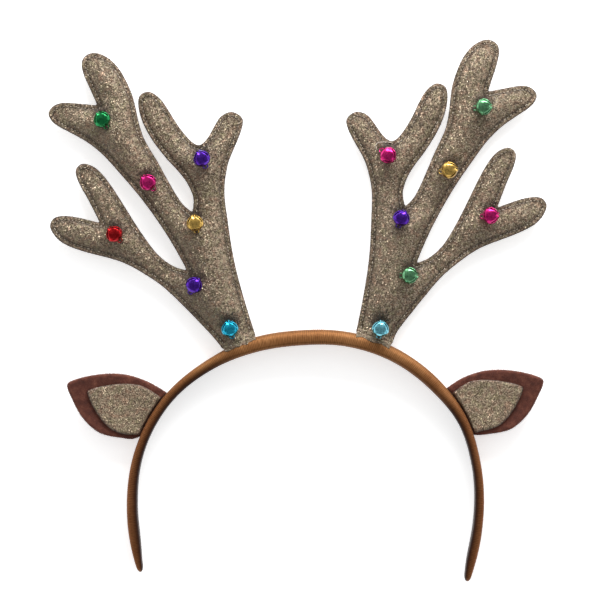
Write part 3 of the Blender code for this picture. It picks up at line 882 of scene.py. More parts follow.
def stuffed(points, faces, pinned):
    """The sewn cloth blown up by its stuffing: a cloth simulation with pressure, then kept."""
    pad = mesh_object("stuffed pad", points * SIMULATION_SCALE, faces)
    hold = pad.vertex_groups.new(name="sewn")
    hold.add([int(i) for i in np.flatnonzero(pinned)], 1.0, "REPLACE")
    cloth = pad.modifiers.new("stuffing", "CLOTH")
    cloth.settings.vertex_group_mass = "sewn"
    cloth.settings.quality = 5
    cloth.settings.mass = 0.02
    cloth.settings.tension_stiffness = 12
    cloth.settings.compression_stiffness = 12
    cloth.settings.bending_stiffness = 0.05
    cloth.settings.tension_damping = 8
    cloth.settings.use_pressure = True
    cloth.settings.uniform_pressure_force = FILL_PRESSURE
    cloth.settings.shrink_min = -0.035
    cloth.settings.effector_weights.gravity = 0
    cloth.point_cache.frame_start, cloth.point_cache.frame_end = 1, SIMULATION_FRAMES
    for number in range(1, SIMULATION_FRAMES + 1):
        bpy.context.scene.frame_set(number)
    depsgraph = bpy.context.evaluated_depsgraph_get()
    blown = pad.evaluated_get(depsgraph).data
    moved = np.zeros(len(blown.vertices) * 3)
    blown.vertices.foreach_get("co", moved)
    moved = moved.reshape(-1, 3) / SIMULATION_SCALE
    bpy.context.scene.frame_set(1)
    bpy.data.objects.remove(pad)
    shift = moved - points
    length = np.linalg.norm(shift, axis=1)
    shift *= (FILL_CAP * np.tanh(length / FILL_CAP) / np.maximum(length, 1e-9))[:, None]
    return points + shift


def subdivided(piece):
    """A piece with its faces cut in four once and its shape smoothed, as a plain mesh."""
    finer = piece.modifiers.new("finer", "SUBSURF")
    finer.levels = finer.render_levels = 1
    settled(piece).data.shade_smooth()
    return piece


def antler(side):
    """A stuffed antler with its attributes, one subdivision finer than the simulated net."""
    flat, triangles, heights, edge_distance, rim, sewn_count = antler_mesh(side)
    count = len(flat)
    front = np.column_stack([flat, MIDDLE_Z + heights])
    back = np.column_stack([flat, MIDDLE_Z - heights])
    steps = np.roll(flat[:rim], -1, axis=0) - np.roll(flat[:rim], 1, axis=0)
    inward = np.stack([-steps[:, 1], steps[:, 0]], axis=1) / np.linalg.norm(steps, axis=1)[:, None]
    groove = np.column_stack([flat[:rim] + inward * LAYER_GROOVE, np.full(rim, MIDDLE_Z)])
    groove[sewn_count:, :2] = flat[sewn_count:rim]
    points = np.vstack([front, back, groove])
    faces = front_and_back(triangles, count)
    middle = 2 * count
    for i in range(rim):
        j = (i + 1) % rim
        faces.append((j, i, middle + i, middle + j))
        faces.append((middle + j, middle + i, count + i, count + j))
    bells = np.array([bell[1:3] for bell in BELLS[side]]) * MM
    to_bell = np.min([np.linalg.norm(flat - bell, axis=1) for bell in bells], axis=0)
    still = (edge_distance < FLANGE + SEAM_REACH) | (to_bell < BELL_PINNED)
    still[:rim] = True
    blown = stuffed(points, faces, np.concatenate([still, still, np.ones(rim, bool)]))
    for layer in (slice(0, count), slice(count, 2 * count)):
        shift = blown[layer] - points[layer]
        eased = [smoothed_heights(part, triangles, still, CREASE_ROUNDS) for part in shift.T]
        points[layer] += np.column_stack(eased)

    piece = mesh_object(f"antler_{side}_cloth", points, faces, antler_cloth)
    # Painted shade on the front layer round each bell, strongest above it.
    above = flat - (0, BELL_SHADE_ABOVE)
    bell_shade_distance = np.min([np.hypot(*((above - bell) / BELL_SHADE_SPREAD).T) for bell in bells], axis=0)
    shade = np.clip(BELL_SHADE_DEPTH - bell_shade_distance, 0, 1) ** BELL_SHADE_POWER
    point_values(piece.data, "edge_distance", np.concatenate([edge_distance, edge_distance, np.zeros(rim)]))
    point_values(piece.data, "bell_shade", np.concatenate([shade, 0 * shade, np.zeros(rim)]))
    return subdivided(piece)


def wire(shape, path, radius, sides, closed=False):
    """A round wire or thread along a path, added to a bmesh."""
    spots = [Vector(p) for p in path]
    rings = []
    for number, spot in enumerate(spots):
        before = spots[number - 1] if number or closed else spot
        after = spots[(number + 1) % len(spots)] if number + 1 < len(spots) or closed else spot
        way = (after - before).normalized()
        across = way.cross(Vector((0, 1, 0)))
        across = (across if across.length > 0.1 else way.cross(Vector((1, 0, 0)))).normalized()
        other = way.cross(across)
        turns = [math.tau * side / sides for side in range(sides)]
        rings.append([shape.verts.new(spot + radius * (math.cos(t) * across + math.sin(t) * other))
                      for t in turns])
    pairs = list(zip(rings, rings[1:])) + ([(rings[-1], rings[0])] if closed else [])
    made = []
    for first, second in pairs:
        for side in range(sides):
            after = (side + 1) % sides
            made.append(shape.faces.new((first[side], first[after], second[after], second[side])))
    if not closed:
        made.append(shape.faces.new(rings[0][::-1]))
        made.append(shape.faces.new(rings[-1]))
    for face in made:
        face.smooth = True


def wobble(seed, count, weights):
    """Smooth random ups and downs, one to each step of an edge."""
    steps = np.random.default_rng(seed).normal(0, 1, count + len(weights) - 1)
    return np.convolve(steps, weights, "valid")


def foot_hem(side, cloth, way):
    """The cloth's turned end, glued over the headband's shoulder; way 1 is the front, -1 the back."""
    _, foot = antler_outline(side)
    _, _, angles = round_arch(foot)
    span = np.linspace(angles.min() + HEM_INSET_DEG, angles.max() - HEM_INSET_DEG, HEM_ROWS)
    tree = surface_tree(cloth, band)
    ragged = wobble(HEM_SEEDS[side], HEM_ROWS, HEM_RAGGED_WEIGHTS)
    overlap = HEM_OVER_BAND * (1 if way > 0 else HEM_BACK_SHARE) * (1 + HEM_RAGGED * ragged)
    rows = []
    for angle, reach in zip(span, overlap):
        turn, outer = math.radians(angle), float(band_outer_radius(angle))
        row = []
        for step in np.linspace(HEM_UP_ANTLER, -reach, HEM_COLUMNS):
            x, y = (outer + step) * math.cos(turn), ARCH_CENTRE_Y + (outer + step) * math.sin(turn)
            row.append([x, y, height_on(tree, x, y, way)])
        rows.append(row)
    rows = np.array(rows)
    for _ in range(HEM_FILL_ROUNDS):
        inner = (rows[:, :-2, 2] + rows[:, 2:, 2]) / 2
        rows[:, 1:-1, 2] = way * np.maximum(way * rows[:, 1:-1, 2], way * inner)
    columns = HEM_COLUMNS
    across = np.arange(columns)
    top, low = rows.copy(), rows.copy()
    top[:, :, 2] += way * np.interp(across, (0, 1, 3, columns - 2, columns - 1), HEM_LIFTS)
    low[:, :, 2] += way * np.interp(across, (0, 5, 8, columns - 1), HEM_UNDERSIDE)
    for layer, lowest in zip((top, low), HEM_OFF_TABLE):
        layer[:, :, 2] = np.maximum(layer[:, :, 2], lowest)
    points = np.vstack([top.reshape(-1, 3), low.reshape(-1, 3)])
    half = HEM_ROWS * columns
    faces = []
    for i in range(HEM_ROWS - 1):
        for j in range(columns - 1):
            a = i * columns + j
            faces.append((a, a + 1, a + 1 + columns, a + columns))
            faces.append(tuple(half + k for k in (a + columns, a + 1 + columns, a + 1, a)))
        for j, flip in ((0, False), (columns - 1, True)):
            a, b = i * columns + j, (i + 1) * columns + j
            faces.append((half + a, a, b, half + b) if not flip else (half + b, b, a, half + a))
    for i, flip in ((0, True), (HEM_ROWS - 1, False)):
        for j in range(columns - 1):
            a, b = i * columns + j, i * columns + j + 1
            faces.append((half + a, a, b, half + b) if not flip else (half + b, b, a, half + a))
    hem = mesh_object(f"antler_{side}_hem", points, faces, antler_cloth)
    shape = bmesh.new()
    shape.from_mesh(hem.data)
    bmesh.ops.recalc_face_normals(shape, faces=shape.faces)
    shape.to_mesh(hem.data)
    shape.free()
    point_values(hem.data, "edge_distance", np.full(len(points), 2 * FLANGE))
    point_values(hem.data, "bell_shade", np.zeros(len(points)))
    return subdivided(hem)


def joined(name, *pieces):
    """Several pieces as one object."""
    with bpy.context.temp_override(active_object=pieces[0], selected_editable_objects=list(pieces)):
        bpy.ops.object.join()
    pieces[0].name = pieces[0].data.name = name
    return pieces[0]


def stitch_tree(material):
    """Stitches a pitch apart along a seam, each a short thread that dips into the cloth at its ends."""
    tree, given = geometry_tree(
        "sewn seam",
        ("Pitch", "NodeSocketFloat", 0.0016),
        ("Stitch Length", "NodeSocketFloat", 0.0011),
        ("Thread Radius", "NodeSocketFloat", 0.00017),
        ("Seed", "NodeSocketInt", 4),
    )
    seam = add(tree, "GeometryNodeMeshToCurve", in_mesh=given.outputs["Geometry"])
    spots = add(tree, "GeometryNodeCurveToPoints", mode="LENGTH", in_curve=seam.outputs["Curve"],
                in_length=given.outputs["Pitch"])
    stitch = add(tree, "GeometryNodeMeshUVSphere", in_segments=7, in_rings=5, in_radius=1.0)
    half = add(tree, "ShaderNodeMath", operation="MULTIPLY", in_1=0.5,
               in_0=given.outputs["Stitch Length"])
    size = add(tree, "ShaderNodeCombineXYZ", in_x=given.outputs["Thread Radius"],
               in_y=given.outputs["Thread Radius"], in_z=half.outputs[0])
    shaped = add(tree, "GeometryNodeTransform", in_geometry=stitch.outputs["Mesh"],
                 in_scale=size.outputs[0])
    smooth = add(tree, "GeometryNodeSetShadeSmooth", in_geometry=shaped.outputs["Geometry"])
    turn = add(tree, "FunctionNodeAlignRotationToVector", axis="Z", in_vector=spots.outputs["Tangent"])
    place = add(tree, "GeometryNodeInstanceOnPoints", in_points=spots.outputs["Points"],
                in_instance=smooth.outputs["Geometry"], in_rotation=turn.outputs["Rotation"])
    varied(tree, place, *STITCH_SIZES, seed=given.outputs["Seed"])
    return finished(tree, tinted(tree, place, "thread_tint", seed=17), material)


def thread_material(name, dark, pale):
    """Twisted sewing thread whose stitches differ a little in tone."""
    material, tree, shader = new_material(name)
    wave = add(tree, "ShaderNodeTexWave", wave_type="BANDS", bands_direction="DIAGONAL",
               in_vector=at_point(tree), in_scale=1400.0)
    twist = wave.outputs["Fac"]
    tone = maths(tree, "MULTIPLY", kept_value(tree, "thread_tint"), 0.75)
    colour = ramp(tree, ((0.1, dark), (0.9, pale)), maths(tree, "MULTIPLY_ADD", twist, 0.35, tone))
    feed(tree, shader, base_color=colour, normal=relief(tree, twist, 0.5, 0.00004), roughness=0.45)
    return material


def seam_path(side, cloth):
    """The line of stitches on both faces of the antler, as edges only."""
    sewn, _ = antler_outline(side)
    line = offset_points(sewn, FLANGE - SEAM_REACH)
    tree = surface_tree(cloth)
    points, edges = [], []
    for way in (1, -1):
        start = len(points)
        points += [(x, y, height_on(tree, x, y, way) + STITCH_LIFT * way) for x, y in line]
        steps = np.linalg.norm(np.diff(line, axis=0), axis=1)
        edges += [(start + i, start + i + 1) for i in range(len(line) - 1) if steps[i] < SEAM_BREAK]
    mesh = bpy.data.meshes.new("seam")
    mesh.from_pydata(points, edges, [])
    return bpy.data.objects.new("seam", mesh)


sewn_seam = stitch_tree(thread_material("pale sewing thread", (0.11, 0.078, 0.052), (0.66, 0.57, 0.45)))
antlers = {}
for side in ("left", "right"):
    cloth = antler(side)
    antlers[side] = joined(
        f"antler_{side}_cloth", cloth, foot_hem(side, cloth, 1), foot_hem(side, cloth, -1))
    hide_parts(f"antler_{side}")
    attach(antlers[side], "root")
    flakes = grown(f"antler_{side}_flakes", antlers[side], standing_flakes, Density=1450000.0, Seed=3)
    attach(flakes, "root")
    stitches = grown(f"antler_{side}_stitches", seam_path(side, antlers[side]), sewn_seam, Pitch=0.0016)
    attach(stitches, "root")


# The ears are brown wool felt cut to a leaf shape, slightly cupped, with a smaller piece of glitter
# cloth on the front. Short fibres stand off the felt, and finer foil flakes off the cloth.
FELT_STEP = 0.0009
FELT_EDGE = 0.0006
FELT_EDGE_SHARE = 0.45
FELT_CLOSEST_SHARE = 0.45
FELT_RINGS = (0.0003, 0.0008, 0.0014)
FELT_NEAR_RIM = 0.0002
FELT_EVEN_ROUNDS = 10
FIBRE_LEAN = 1.2
RIM_PULL = 0.02
EDGE_SHADE_REACH = 0.0013
EAR_CORNER_DEG = 52
ROOT_REACH = 0.0009
ROOT_FROM, ROOT_BLEND = 0.0032, 0.0012


def felt_material():
    """Dark red-brown wool felt, mottled, with a soft nap."""
    material, tree, shader = new_material("brown felt")
    place = at_point(tree)
    fibres = noise(tree, place, 2600.0, 4.0, in_roughness=0.7, in_distortion=1.2)
    mottle = noise(tree, place, 330.0, 3.0)
    colour = ramp(tree, (
        (0.34, (0.050, 0.014, 0.0095)),
        (0.50, (0.118, 0.032, 0.019)),
        (0.66, (0.205, 0.070, 0.042)),
    ), maths(tree, "MULTIPLY_ADD", fibres, 0.5, maths(tree, "MULTIPLY", mottle, 0.5)))
    feed(tree, shader, base_color=colour, normal=relief(tree, fibres, 0.8, 0.00012), roughness=0.95,
         sheen_weight=0.25, sheen_roughness=0.5, sheen_tint=(0.75, 0.45, 0.38, 1))
    return material


def ear_sheet(node_name, name, material, root_reach=0.0):
    """A cut sheet over a CAD ear piece, with a rounded edge; also its flat area and flat size."""
    node = nodes[node_name]
    rim = rim_of(node)
    turns = turn_angles(rim)
    corners = [i for i in range(len(rim)) if turns[i] > EAR_CORNER_DEG]
    first = corners[0]
    loop = np.roll(rim[:, :2], -first, axis=0)
    corners = [i - first for i in corners] + [len(rim)]
    closed = np.vstack([loop, loop[:1]])
    outline = []
    for a, b in zip(corners, corners[1:]):
        outline.extend(smooth_curve(closed[a:b + 1] / MM, FELT_STEP / MM)[:-1] * MM)
    outline = np.array(outline)
    way, reach, angle = round_arch(outline)
    gap = reach - band_outer_radius(angle)
    shift = root_reach * np.clip((ROOT_FROM - gap) / ROOT_BLEND, 0, 1)
    outline = outline - way / reach[:, None] * shift[:, None]

    round_path = np.vstack([outline, outline[:1]])
    rings = [offset_points(np.vstack([round_path, round_path[1:2]]), depth) for depth in FELT_RINGS]
    rings = [ring[inside(ring, outline)] for ring in rings]
    grid = hexagonal_grid(outline, FELT_STEP)
    fill = thinned([outline, *rings, grid], FELT_STEP * FELT_CLOSEST_SHARE)
    fill = fill[distance_to_path(fill, round_path) > FELT_NEAR_RIM]
    points, triangles, area = flat_net(outline, fill)
    count = len(points)

    tree = surface_tree(node)
    depth = distance_to_path(points, round_path)
    middle = Vector(points[:len(outline)].mean(axis=0))
    layers = []
    for way in (1, -1):
        heights = []
        for (x, y), gap in zip(points, depth):
            spot = Vector((x, y))
            if gap <= NEAR_RIM:
                spot = spot.lerp(middle, RIM_PULL)
            heights.append(height_on(tree, *spot, way, missed=math.nan))
        heights = gaps_filled(points, heights)
        layers.append(smoothed_heights(heights, triangles, np.zeros(count, bool), FELT_EVEN_ROUNDS))
    top, bottom = layers
    centre, half = (top + bottom) / 2, (top - bottom) / 2
    share = np.clip(depth / FELT_EDGE, 0, 1)
    half = half * (FELT_EDGE_SHARE + (1 - FELT_EDGE_SHARE) * np.sqrt(1 - (1 - share) ** 2))
    solid = np.vstack([np.column_stack([points, centre + half]), np.column_stack([points, centre - half])])
    faces = front_and_back(triangles, count)
    for i in range(len(outline)):
        j = (i + 1) % len(outline)
        faces.append((j, i, count + i, count + j))
    piece = mesh_object(name, solid, faces, material)
    # Painted shade: the glitter piece's darker edge stands for the shade in the groove round it.
    point_values(piece.data, "edge_distance", np.minimum(np.concatenate([depth, depth]), EDGE_SHADE_REACH))
    low, high = outline.min(axis=0), outline.max(axis=0)
    return piece, area, tuple(float(s) for s in high - low)


def nap_tree(material):
    """The felt's nap: short fibres that lean every way from the surface."""
    tree, given = geometry_tree(
        "felt nap",
        ("Density", "NodeSocketFloat", 8500000.0),
        ("Fibre Length", "NodeSocketFloat", 0.00055),
        ("Fibre Width", "NodeSocketFloat", 0.00004),
        ("Seed", "NodeSocketInt", 6),
    )
    fibre = add(tree, "GeometryNodeMeshCone", fill_type="NGON", in_vertices=3, in_radius_top=0.0,
                in_radius_bottom=given.outputs["Fibre Width"], in_depth=given.outputs["Fibre Length"])
    place = spread_over(tree, given, fibre, FIBRE_LEAN)
    return finished(tree, place.outputs["Instances"], material)


felt = felt_material()
felt_nap = nap_tree(felt)
# Painted light: the ears' glitter cloth is the antlers' cloth made brighter to make up for the dimmer light
# on the ears.
ear_cloth = glitter_material("ear glitter cloth", flake_size=0.00034, brightness=1.42)
for side in ("left", "right"):
    ear, area, flat = ear_sheet(f"ear_{side}_back", f"ear_{side}_felt", felt)
    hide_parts(f"ear_{side}_back")
    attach(ear, "root")
    inner, inner_area, inner_flat = ear_sheet(
        f"ear_{side}_front", f"ear_{side}_glitter", ear_cloth, ROOT_REACH)
    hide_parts(f"ear_{side}_front")
    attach(inner, "root")
    nap = grown(f"ear_{side}_nap", ear, felt_nap, Seed=6)
    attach(nap, "root")
    values = {"Density": 1800000.0, "Flake Radius": 0.00016, "Seed": 8}
    flakes = grown(f"ear_{side}_flakes", inner, standing_flakes, **values)
    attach(flakes, "root")


# A bead of brown hot glue runs along each ear's root and holds it against the headband's side. It
# was squeezed out by hand, so it is a little lumpy.
GLUE_RADIUS = 0.00034
GLUE_OFF_BAND = 0.00022
GLUE_LUMPS = 0.00005
GLUE_LUMP_WEIGHTS = (0.2, 0.5, 0.7, 0.5, 0.2)
GLUE_BELOW_FRONT = 0.0007
GLUE_STEPS = 70
GLUE_SEED = 5
ROOT_GAP = 0.0009


def glue_material():
    """Hot glue with brown felt fluff in it: dark, smooth and a little shiny."""
    material, tree, shader = new_material("brown hot glue")
    blotch = noise(tree, at_point(tree), 900.0, 3.0)
    colour = ramp(tree, ((0.3, (0.020, 0.009, 0.006)), (0.7, (0.060, 0.026, 0.015))), blotch)
    feed(tree, shader, base_color=colour, roughness=0.45)
    return material


def object_from(shape, name, material):
    """A finished object in one material from a bmesh."""
    mesh = bpy.data.meshes.new(name)
    shape.to_mesh(mesh)
    shape.free()
    mesh.materials.append(material)
    return placed(name, mesh)


hot_glue = glue_material()
for side in ("left", "right"):
    rim = rim_of(nodes[f"ear_{side}_back"])
    _, reach, angle = round_arch(rim[:, :2])
    at_root = reach - band_outer_radius(angle) < ROOT_GAP
    angle, height = angle[at_root], rim[at_root, 2]
    order = np.argsort(angle)
    turns = np.linspace(angle.min(), angle.max(), GLUE_STEPS)
    path = []
    for turn, lump in zip(turns, wobble(GLUE_SEED, GLUE_STEPS, GLUE_LUMP_WEIGHTS)):
        reach = float(band_outer_radius(turn)) + GLUE_OFF_BAND + GLUE_LUMPS * lump
        level = np.interp(turn, angle[order], height[order]) - GLUE_BELOW_FRONT
        path.append((reach * math.cos(math.radians(turn)),
                     ARCH_CENTRE_Y + reach * math.sin(math.radians(turn)), level))
    shape = bmesh.new()
    wire(shape, path, GLUE_RADIUS, 8)
    glue = object_from(shape, f"ear_{side}_glue", hot_glue)
    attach(glue, "root")


# Fourteen small jingle bells: hollow balls of coloured anodised metal, closed by three petals
# that leave slits between them, with a steel ball inside and a wire loop sewn to the cloth.
BELL_RADIUS = 0.004
BELL_WALL = 0.0004
BELL_WAIST = 0.00014
PETAL_FLAT = 0.00042
SLIT_HALF = 0.0003
SLIT_END_DEG = 81
PETAL_END_DEG, PETAL_BLEND_DEG = 120, 50
WAIST_DEG, WAIST_SPREAD_DEG = 99, 5
PETAL_COLUMNS = 10
OPEN_ROWS_DEG = (5.5, 8, 12, 17, 23, 30, 38, 46, 54, 62, 69, 75, SLIT_END_DEG)
WHOLE_ROWS_DEG = (86, 90, 93, 96, 99, 102, 105, 108, 114, 122, 136, 150, 163, 172)
LOOP_TILT_DEG = 35
LOOP_RADIUS = 0.001
LOOP_WIRE = 0.00028
LOOP_STANDOFF = 0.0006
BALL_RADIUS = 0.0013
BALL_SPOT = (0.0008, 0.0006, -0.0012)
BELL_TINTS = {
    "turquoise": (0.020, 0.40, 0.60),
    "violet": (0.085, 0.022, 0.35),
    "gold": (0.64, 0.41, 0.105),
    "magenta": (0.57, 0.021, 0.175),
    "green": (0.016, 0.215, 0.065),
    "red": (0.38, 0.010, 0.013),
    "sea_green": (0.13, 0.34, 0.17),
}
FADED_TURQUOISE = (0.19, 0.55, 0.66)
FADED_BELL = ("right", 1)


def bell_radius(polar, turn):
    """The shell's outer radius, from the bottom pole and round the loop's axis, in radians."""
    petal = (1 + math.cos(3 * turn - 1.5 * math.pi)) / 2
    low = min(1.0, max(0.0, (math.radians(PETAL_END_DEG) - polar) / math.radians(PETAL_BLEND_DEG)))
    waist = math.exp(-((polar - math.radians(WAIST_DEG)) / math.radians(WAIST_SPREAD_DEG)) ** 2)
    return BELL_RADIUS - BELL_WAIST * (1 - waist) - PETAL_FLAT * petal * low


def bell_mesh():
    """One bell round Z, its loop at the top and its three slits meeting at the bottom."""
    shape = bmesh.new()
    columns, third = PETAL_COLUMNS, math.tau / 3
    for wall, outward in ((0.0, True), (BELL_WALL, False)):
        grid = []
        for polar in OPEN_ROWS_DEG + WHOLE_ROWS_DEG:
            angle = math.radians(polar)
            row = []
            for petal in range(3):
                gap = 0.0
                if polar < SLIT_END_DEG:
                    gap = min(third / 2, math.asin(min(1.0, SLIT_HALF / (BELL_RADIUS * math.sin(angle)))))
                for column in range(columns + 1):
                    turn = petal * third + third / 4 + gap + (third - 2 * gap) * column / columns
                    radius = bell_radius(angle, turn) - wall
                    ring = radius * math.sin(angle)
                    row.append(shape.verts.new((
                        ring * math.cos(turn), ring * math.sin(turn), -radius * math.cos(angle))))
            grid.append(row)
        width = 3 * (columns + 1)
        for upper, lower in zip(grid, grid[1:]):
            for i in range(width):
                if i % (columns + 1) == columns:
                    continue
                face = (upper[i], upper[i + 1], lower[i + 1], lower[i])
                shape.faces.new(face if outward else face[::-1])
        top = shape.verts.new((0, 0, BELL_RADIUS - BELL_WAIST - wall))
        for i in range(width):
            if i % (columns + 1) == columns:
                continue
            face = (grid[-1][i], grid[-1][i + 1], top)
            shape.faces.new(face if outward else face[::-1])
        if outward:
            outer = grid
        else:
            for petal in range(3):
                for column in (0, columns):
                    i = petal * (columns + 1) + column
                    for a in range(len(OPEN_ROWS_DEG) - 1):
                        face = (outer[a][i], outer[a + 1][i], grid[a + 1][i], grid[a][i])
                        shape.faces.new(face if column == columns else face[::-1])
                for i in range(petal * (columns + 1), petal * (columns + 1) + columns):
                    shape.faces.new((outer[0][i + 1], outer[0][i], grid[0][i], grid[0][i + 1]))
    bmesh.ops.remove_doubles(shape, verts=shape.verts, dist=2 * WELD)
    for face in shape.faces:
        face.smooth = True

    middle = BELL_RADIUS + LOOP_STANDOFF
    ring = [(LOOP_RADIUS * math.cos(a), 0.0, middle + LOOP_RADIUS * math.sin(a))
            for a in np.linspace(0, math.tau, 20, endpoint=False)]
    wire(shape, ring, LOOP_WIRE, 8, closed=True)
    before = set(shape.faces)
    bmesh.ops.create_uvsphere(
        shape, u_segments=16, v_segments=10, radius=BALL_RADIUS, matrix=Matrix.Translation(BALL_SPOT))
    for face in set(shape.faces) - before:
        face.material_index = 1
        face.smooth = True
    mesh = bpy.data.meshes.new("jingle bell")
    bmesh.ops.recalc_face_normals(shape, faces=shape.faces)
    shape.to_mesh(mesh)
    shape.free()
    return mesh


def bell_material(name, tint):
    """Anodised metal: clear colour and small scuffs."""
    material, tree, shader = new_material(name)
    scuffs = noise(tree, at_point(tree), 1500.0, 4.0)
    dark = tuple(0.55 * c for c in tint)
    pale = tuple(min(1.0, 1.12 * c + 0.015) for c in tint)
    colour = ramp(tree, ((0.32, dark), (0.5, tint), (0.72, pale)), scuffs)
    feed(tree, shader, base_color=colour, roughness=ranged(tree, scuffs, 0.3, 0.75, 0.11, 0.24),
         normal=relief(tree, scuffs, 0.25, 0.00004), metallic=1.0)
    return material


def steel_material():
    """The loose ball inside: plain steel, dull with handling."""
    material, tree, shader = new_material("steel ball")
    grain = noise(tree, at_point(tree), 1800.0)
    colour = ramp(tree, ((0.3, (0.25, 0.24, 0.23)), (0.7, (0.45, 0.44, 0.42))), grain)
    feed(tree, shader, base_color=colour, metallic=1.0, roughness=0.4)
    return material


def bell_axes(node, x_mm, y_mm, loop_deg):
    """A bell's centre under its CAD node's top, the way its loop points, and the way across that."""
    flat, tilt = math.radians(loop_deg), math.radians(LOOP_TILT_DEG)
    centre = Vector((x_mm * MM, y_mm * MM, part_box(node)[1].z - BELL_RADIUS))
    loop_way = Vector((math.cos(flat) * math.cos(tilt), math.sin(flat) * math.cos(tilt), -math.sin(tilt)))
    return centre, loop_way, Vector((-math.sin(flat), math.cos(flat), 0))


plain_bell = bell_mesh()
steel = steel_material()
anodised = {colour: bell_material(f"anodised {colour.replace('_', ' ')}", tint)
            for colour, tint in BELL_TINTS.items()}
faded_turquoise = bell_material("anodised faded turquoise", FADED_TURQUOISE)
for side, row in BELLS.items():
    for number, (colour, *spot) in enumerate(row, start=1):
        node = f"bell_{side}_{number}_{colour}"
        centre, loop_way, across = bell_axes(node, *spot)
        turn = Matrix((across, loop_way.cross(across), loop_way)).transposed().to_4x4()
        mesh = plain_bell.copy()
        mesh.transform(Matrix.Translation(centre) @ turn)
        mesh.materials.append(faded_turquoise if (side, number) == FADED_BELL else anodised[colour])
        mesh.materials.append(steel)
        bell = placed(f"jingle_{side}_{number}_{colour}", mesh)
        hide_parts(node)
        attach(bell, "root")


# Brown thread holds each bell: three turns go through its wire loop and into the cloth, and finer
# gathering threads fan out above it. By one bell a pale thread end was left and lies on the cloth.
THREAD_RADIUS = 0.00012
STRAND_GAP = 0.00018
THREAD_SINK = 0.0003
EYE_OUT = 0.00025
STRAND_IN, STRAND_OUT = 0.0010, 0.0016
SPREAD_IN, SPREAD_OUT = 2.5, 3.5
GATHERS = 9
GATHER_FAN_DEG = 17
GATHER_START = 0.0022
GATHER_REACH = (0.0048, 0.0068)
GATHER_RISE, GATHER_DIP = 0.00012, 0.00022
GATHER_SWAY_DEG, GATHER_BEND = 7, 0.35
THREAD_SEEDS = {"left": 12, "right": 15}
LOOSE_END_MM = ((31.46, 82.5), (30.84, 84.48), (31.64, 85.71), (33.66, 86.11), (36.3, 86.15), (38.28, 85.62))
LOOSE_END_RADIUS = 0.00013
LOOSE_END_RISE = 0.00022


def lying_on(tree, x, y, clearance):
    """A point on the shown cloth, a little above it."""
    return Vector((x, y, height_on(tree, x, y) + clearance))


bell_thread = thread_material("brown sewing thread", (0.055, 0.032, 0.022), (0.17, 0.11, 0.075))
for side, row in BELLS.items():
    tree = surface_tree(antlers[side])
    chance = np.random.default_rng(THREAD_SEEDS[side])
    shape = bmesh.new()
    for number, (colour, *spot) in enumerate(row, start=1):
        centre, loop_way, across = bell_axes(f"bell_{side}_{number}_{colour}", *spot)
        outward = Vector((loop_way.x, loop_way.y, 0)).normalized()
        eye = centre + loop_way * (BELL_RADIUS + LOOP_STANDOFF + EYE_OUT)
        for strand in (-1, 0, 1):
            shift = across * STRAND_GAP * strand
            near = lying_on(tree, *(eye - outward * STRAND_IN + shift * SPREAD_IN).xy, -THREAD_SINK)
            far = lying_on(tree, *(eye + outward * STRAND_OUT + shift * SPREAD_OUT).xy, -THREAD_SINK)
            top = eye + shift + Vector((0, 0, 0.00012))
            path = [
                near,
                near.lerp(top, 0.45) - outward * 0.0001,
                near.lerp(top, 0.8),
                top,
                top.lerp(far, 0.35) + Vector((0, 0, 0.00025)),
                top.lerp(far, 0.75) + Vector((0, 0, 0.0002)),
                far,
            ]
            wire(shape, path, THREAD_RADIUS, 6)
        for strand in range(GATHERS):
            fan = (strand - (GATHERS - 1) / 2) * GATHER_FAN_DEG
            way = math.radians(90 + fan + chance.uniform(-GATHER_SWAY_DEG, GATHER_SWAY_DEG))
            bend = chance.uniform(-GATHER_BEND, GATHER_BEND)
            reach = chance.uniform(*GATHER_REACH)
            path = []
            for share in np.linspace(0, 1, 7):
                turn = way + bend * share
                out = GATHER_START + (reach - GATHER_START) * share
                x, y = centre.x + out * math.cos(turn), centre.y + out * math.sin(turn)
                path.append(lying_on(tree, x, y, GATHER_RISE - GATHER_DIP * (share > 0.9)))
            wire(shape, path, 0.6 * THREAD_RADIUS, 5)
    threads = object_from(shape, f"bell_threads_{side}", bell_thread)
    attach(threads, "root")

tree = surface_tree(antlers["right"])
shape = bmesh.new()
loose = [lying_on(tree, x * MM, y * MM, LOOSE_END_RISE) for x, y in smooth_curve(LOOSE_END_MM, 0.5)]
wire(shape, loose, LOOSE_END_RADIUS, 7)
loose_end = object_from(
    shape, "loose_thread_end", thread_material("cream thread", (0.50, 0.44, 0.36), (0.85, 0.80, 0.70)))
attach(loose_end, "root")


# The photograph's set: the headband lies on its back on a pale table inside a soft white tent,
# and the camera looks straight down at it. The main light comes from beyond the antlers.
PIXEL = 0.00044
PHOTO_SIDE = 600
ORIGIN_PIXEL = (305.5, 338)
CAMERA_HEIGHT = 1.2
CAMERA_SPOT = ((PHOTO_SIDE / 2 - ORIGIN_PIXEL[0]) * PIXEL, (ORIGIN_PIXEL[1] - PHOTO_SIDE / 2) * PIXEL)
TABLE_HALF = 2

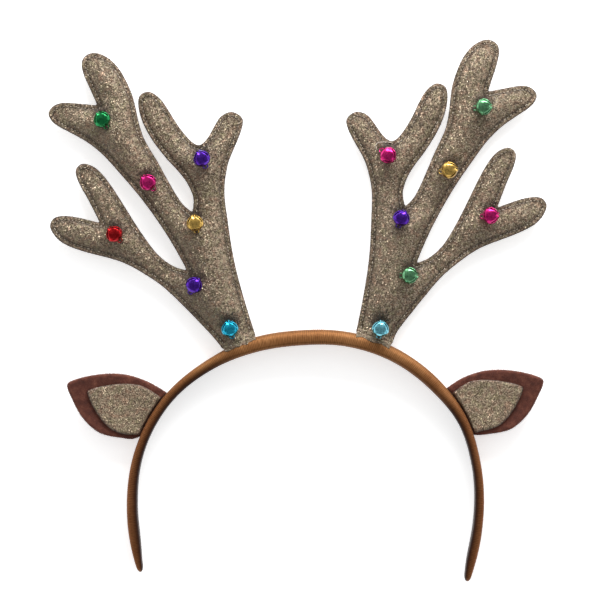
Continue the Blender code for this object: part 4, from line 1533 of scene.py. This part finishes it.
corners = [(TABLE_HALF * x, TABLE_HALF * y, 0) for x, y in ((-1, -1), (1, -1), (1, 1), (-1, 1))]
table = mesh_object("table", corners, [(0, 1, 2, 3)])
paper, paper_tree, paper_shader = new_material("pale paper")
paper_grain = noise(paper_tree, at_point(paper_tree), 240.0, 4.0)
paper_colour = ramp(paper_tree, ((0.3, (0.90, 0.90, 0.90)), (0.7, (0.93, 0.93, 0.93))), paper_grain)
feed(paper_tree, paper_shader, base_color=paper_colour, roughness=0.9, emission_color=(1, 1, 1, 1),
     emission_strength=0.55)
table.data.materials.append(paper)

camera = bpy.data.objects.new("camera", bpy.data.cameras.new("camera"))
camera.data.sensor_width = 36
camera.data.lens = camera.data.sensor_width * (CAMERA_HEIGHT - MIDDLE_Z) / (PHOTO_SIDE * PIXEL)
camera.data.clip_end = 20
camera.location = (*CAMERA_SPOT, CAMERA_HEIGHT)
bpy.context.scene.collection.objects.link(camera)
bpy.context.scene.camera = camera

key = bpy.data.objects.new("key light", bpy.data.lights.new("key light", "AREA"))
key.data.shape = "RECTANGLE"
key.data.size, key.data.size_y = 0.5, 0.16
key.data.energy = 2.95
key.location = (0.08, 0.46, 0.24)
key.rotation_euler = (Vector((0, 0.01, 0)) - key.location).to_track_quat("-Z", "Y").to_euler()
bpy.context.scene.collection.objects.link(key)

tent = bpy.data.worlds.new("white tent")
bpy.context.scene.world = tent
tent.use_nodes = True
tent_tree = tent.node_tree
tent_place = add(tent_tree, "ShaderNodeTexCoord")
tent_height = add(tent_tree, "ShaderNodeSeparateXYZ", in_0=tent_place.outputs["Generated"])
tent_tone = ramp(tent_tree, (
    (0.00, (1.00, 1.00, 1.00)),
    (0.22, (0.92, 0.92, 0.92)),
    (0.38, (0.40, 0.40, 0.40)),
    (0.62, (0.28, 0.28, 0.28)),
    (1.00, (0.25, 0.25, 0.25)),
), tent_height.outputs["Z"])
feed(tent_tree, tent_tree.nodes["Background"], color=tent_tone,
     strength=ranged(tent_tree, tent_height.outputs["Y"], -0.1, 0.9, 1.30, 3.2))
bpy.context.scene.view_settings.view_transform = "Standard"
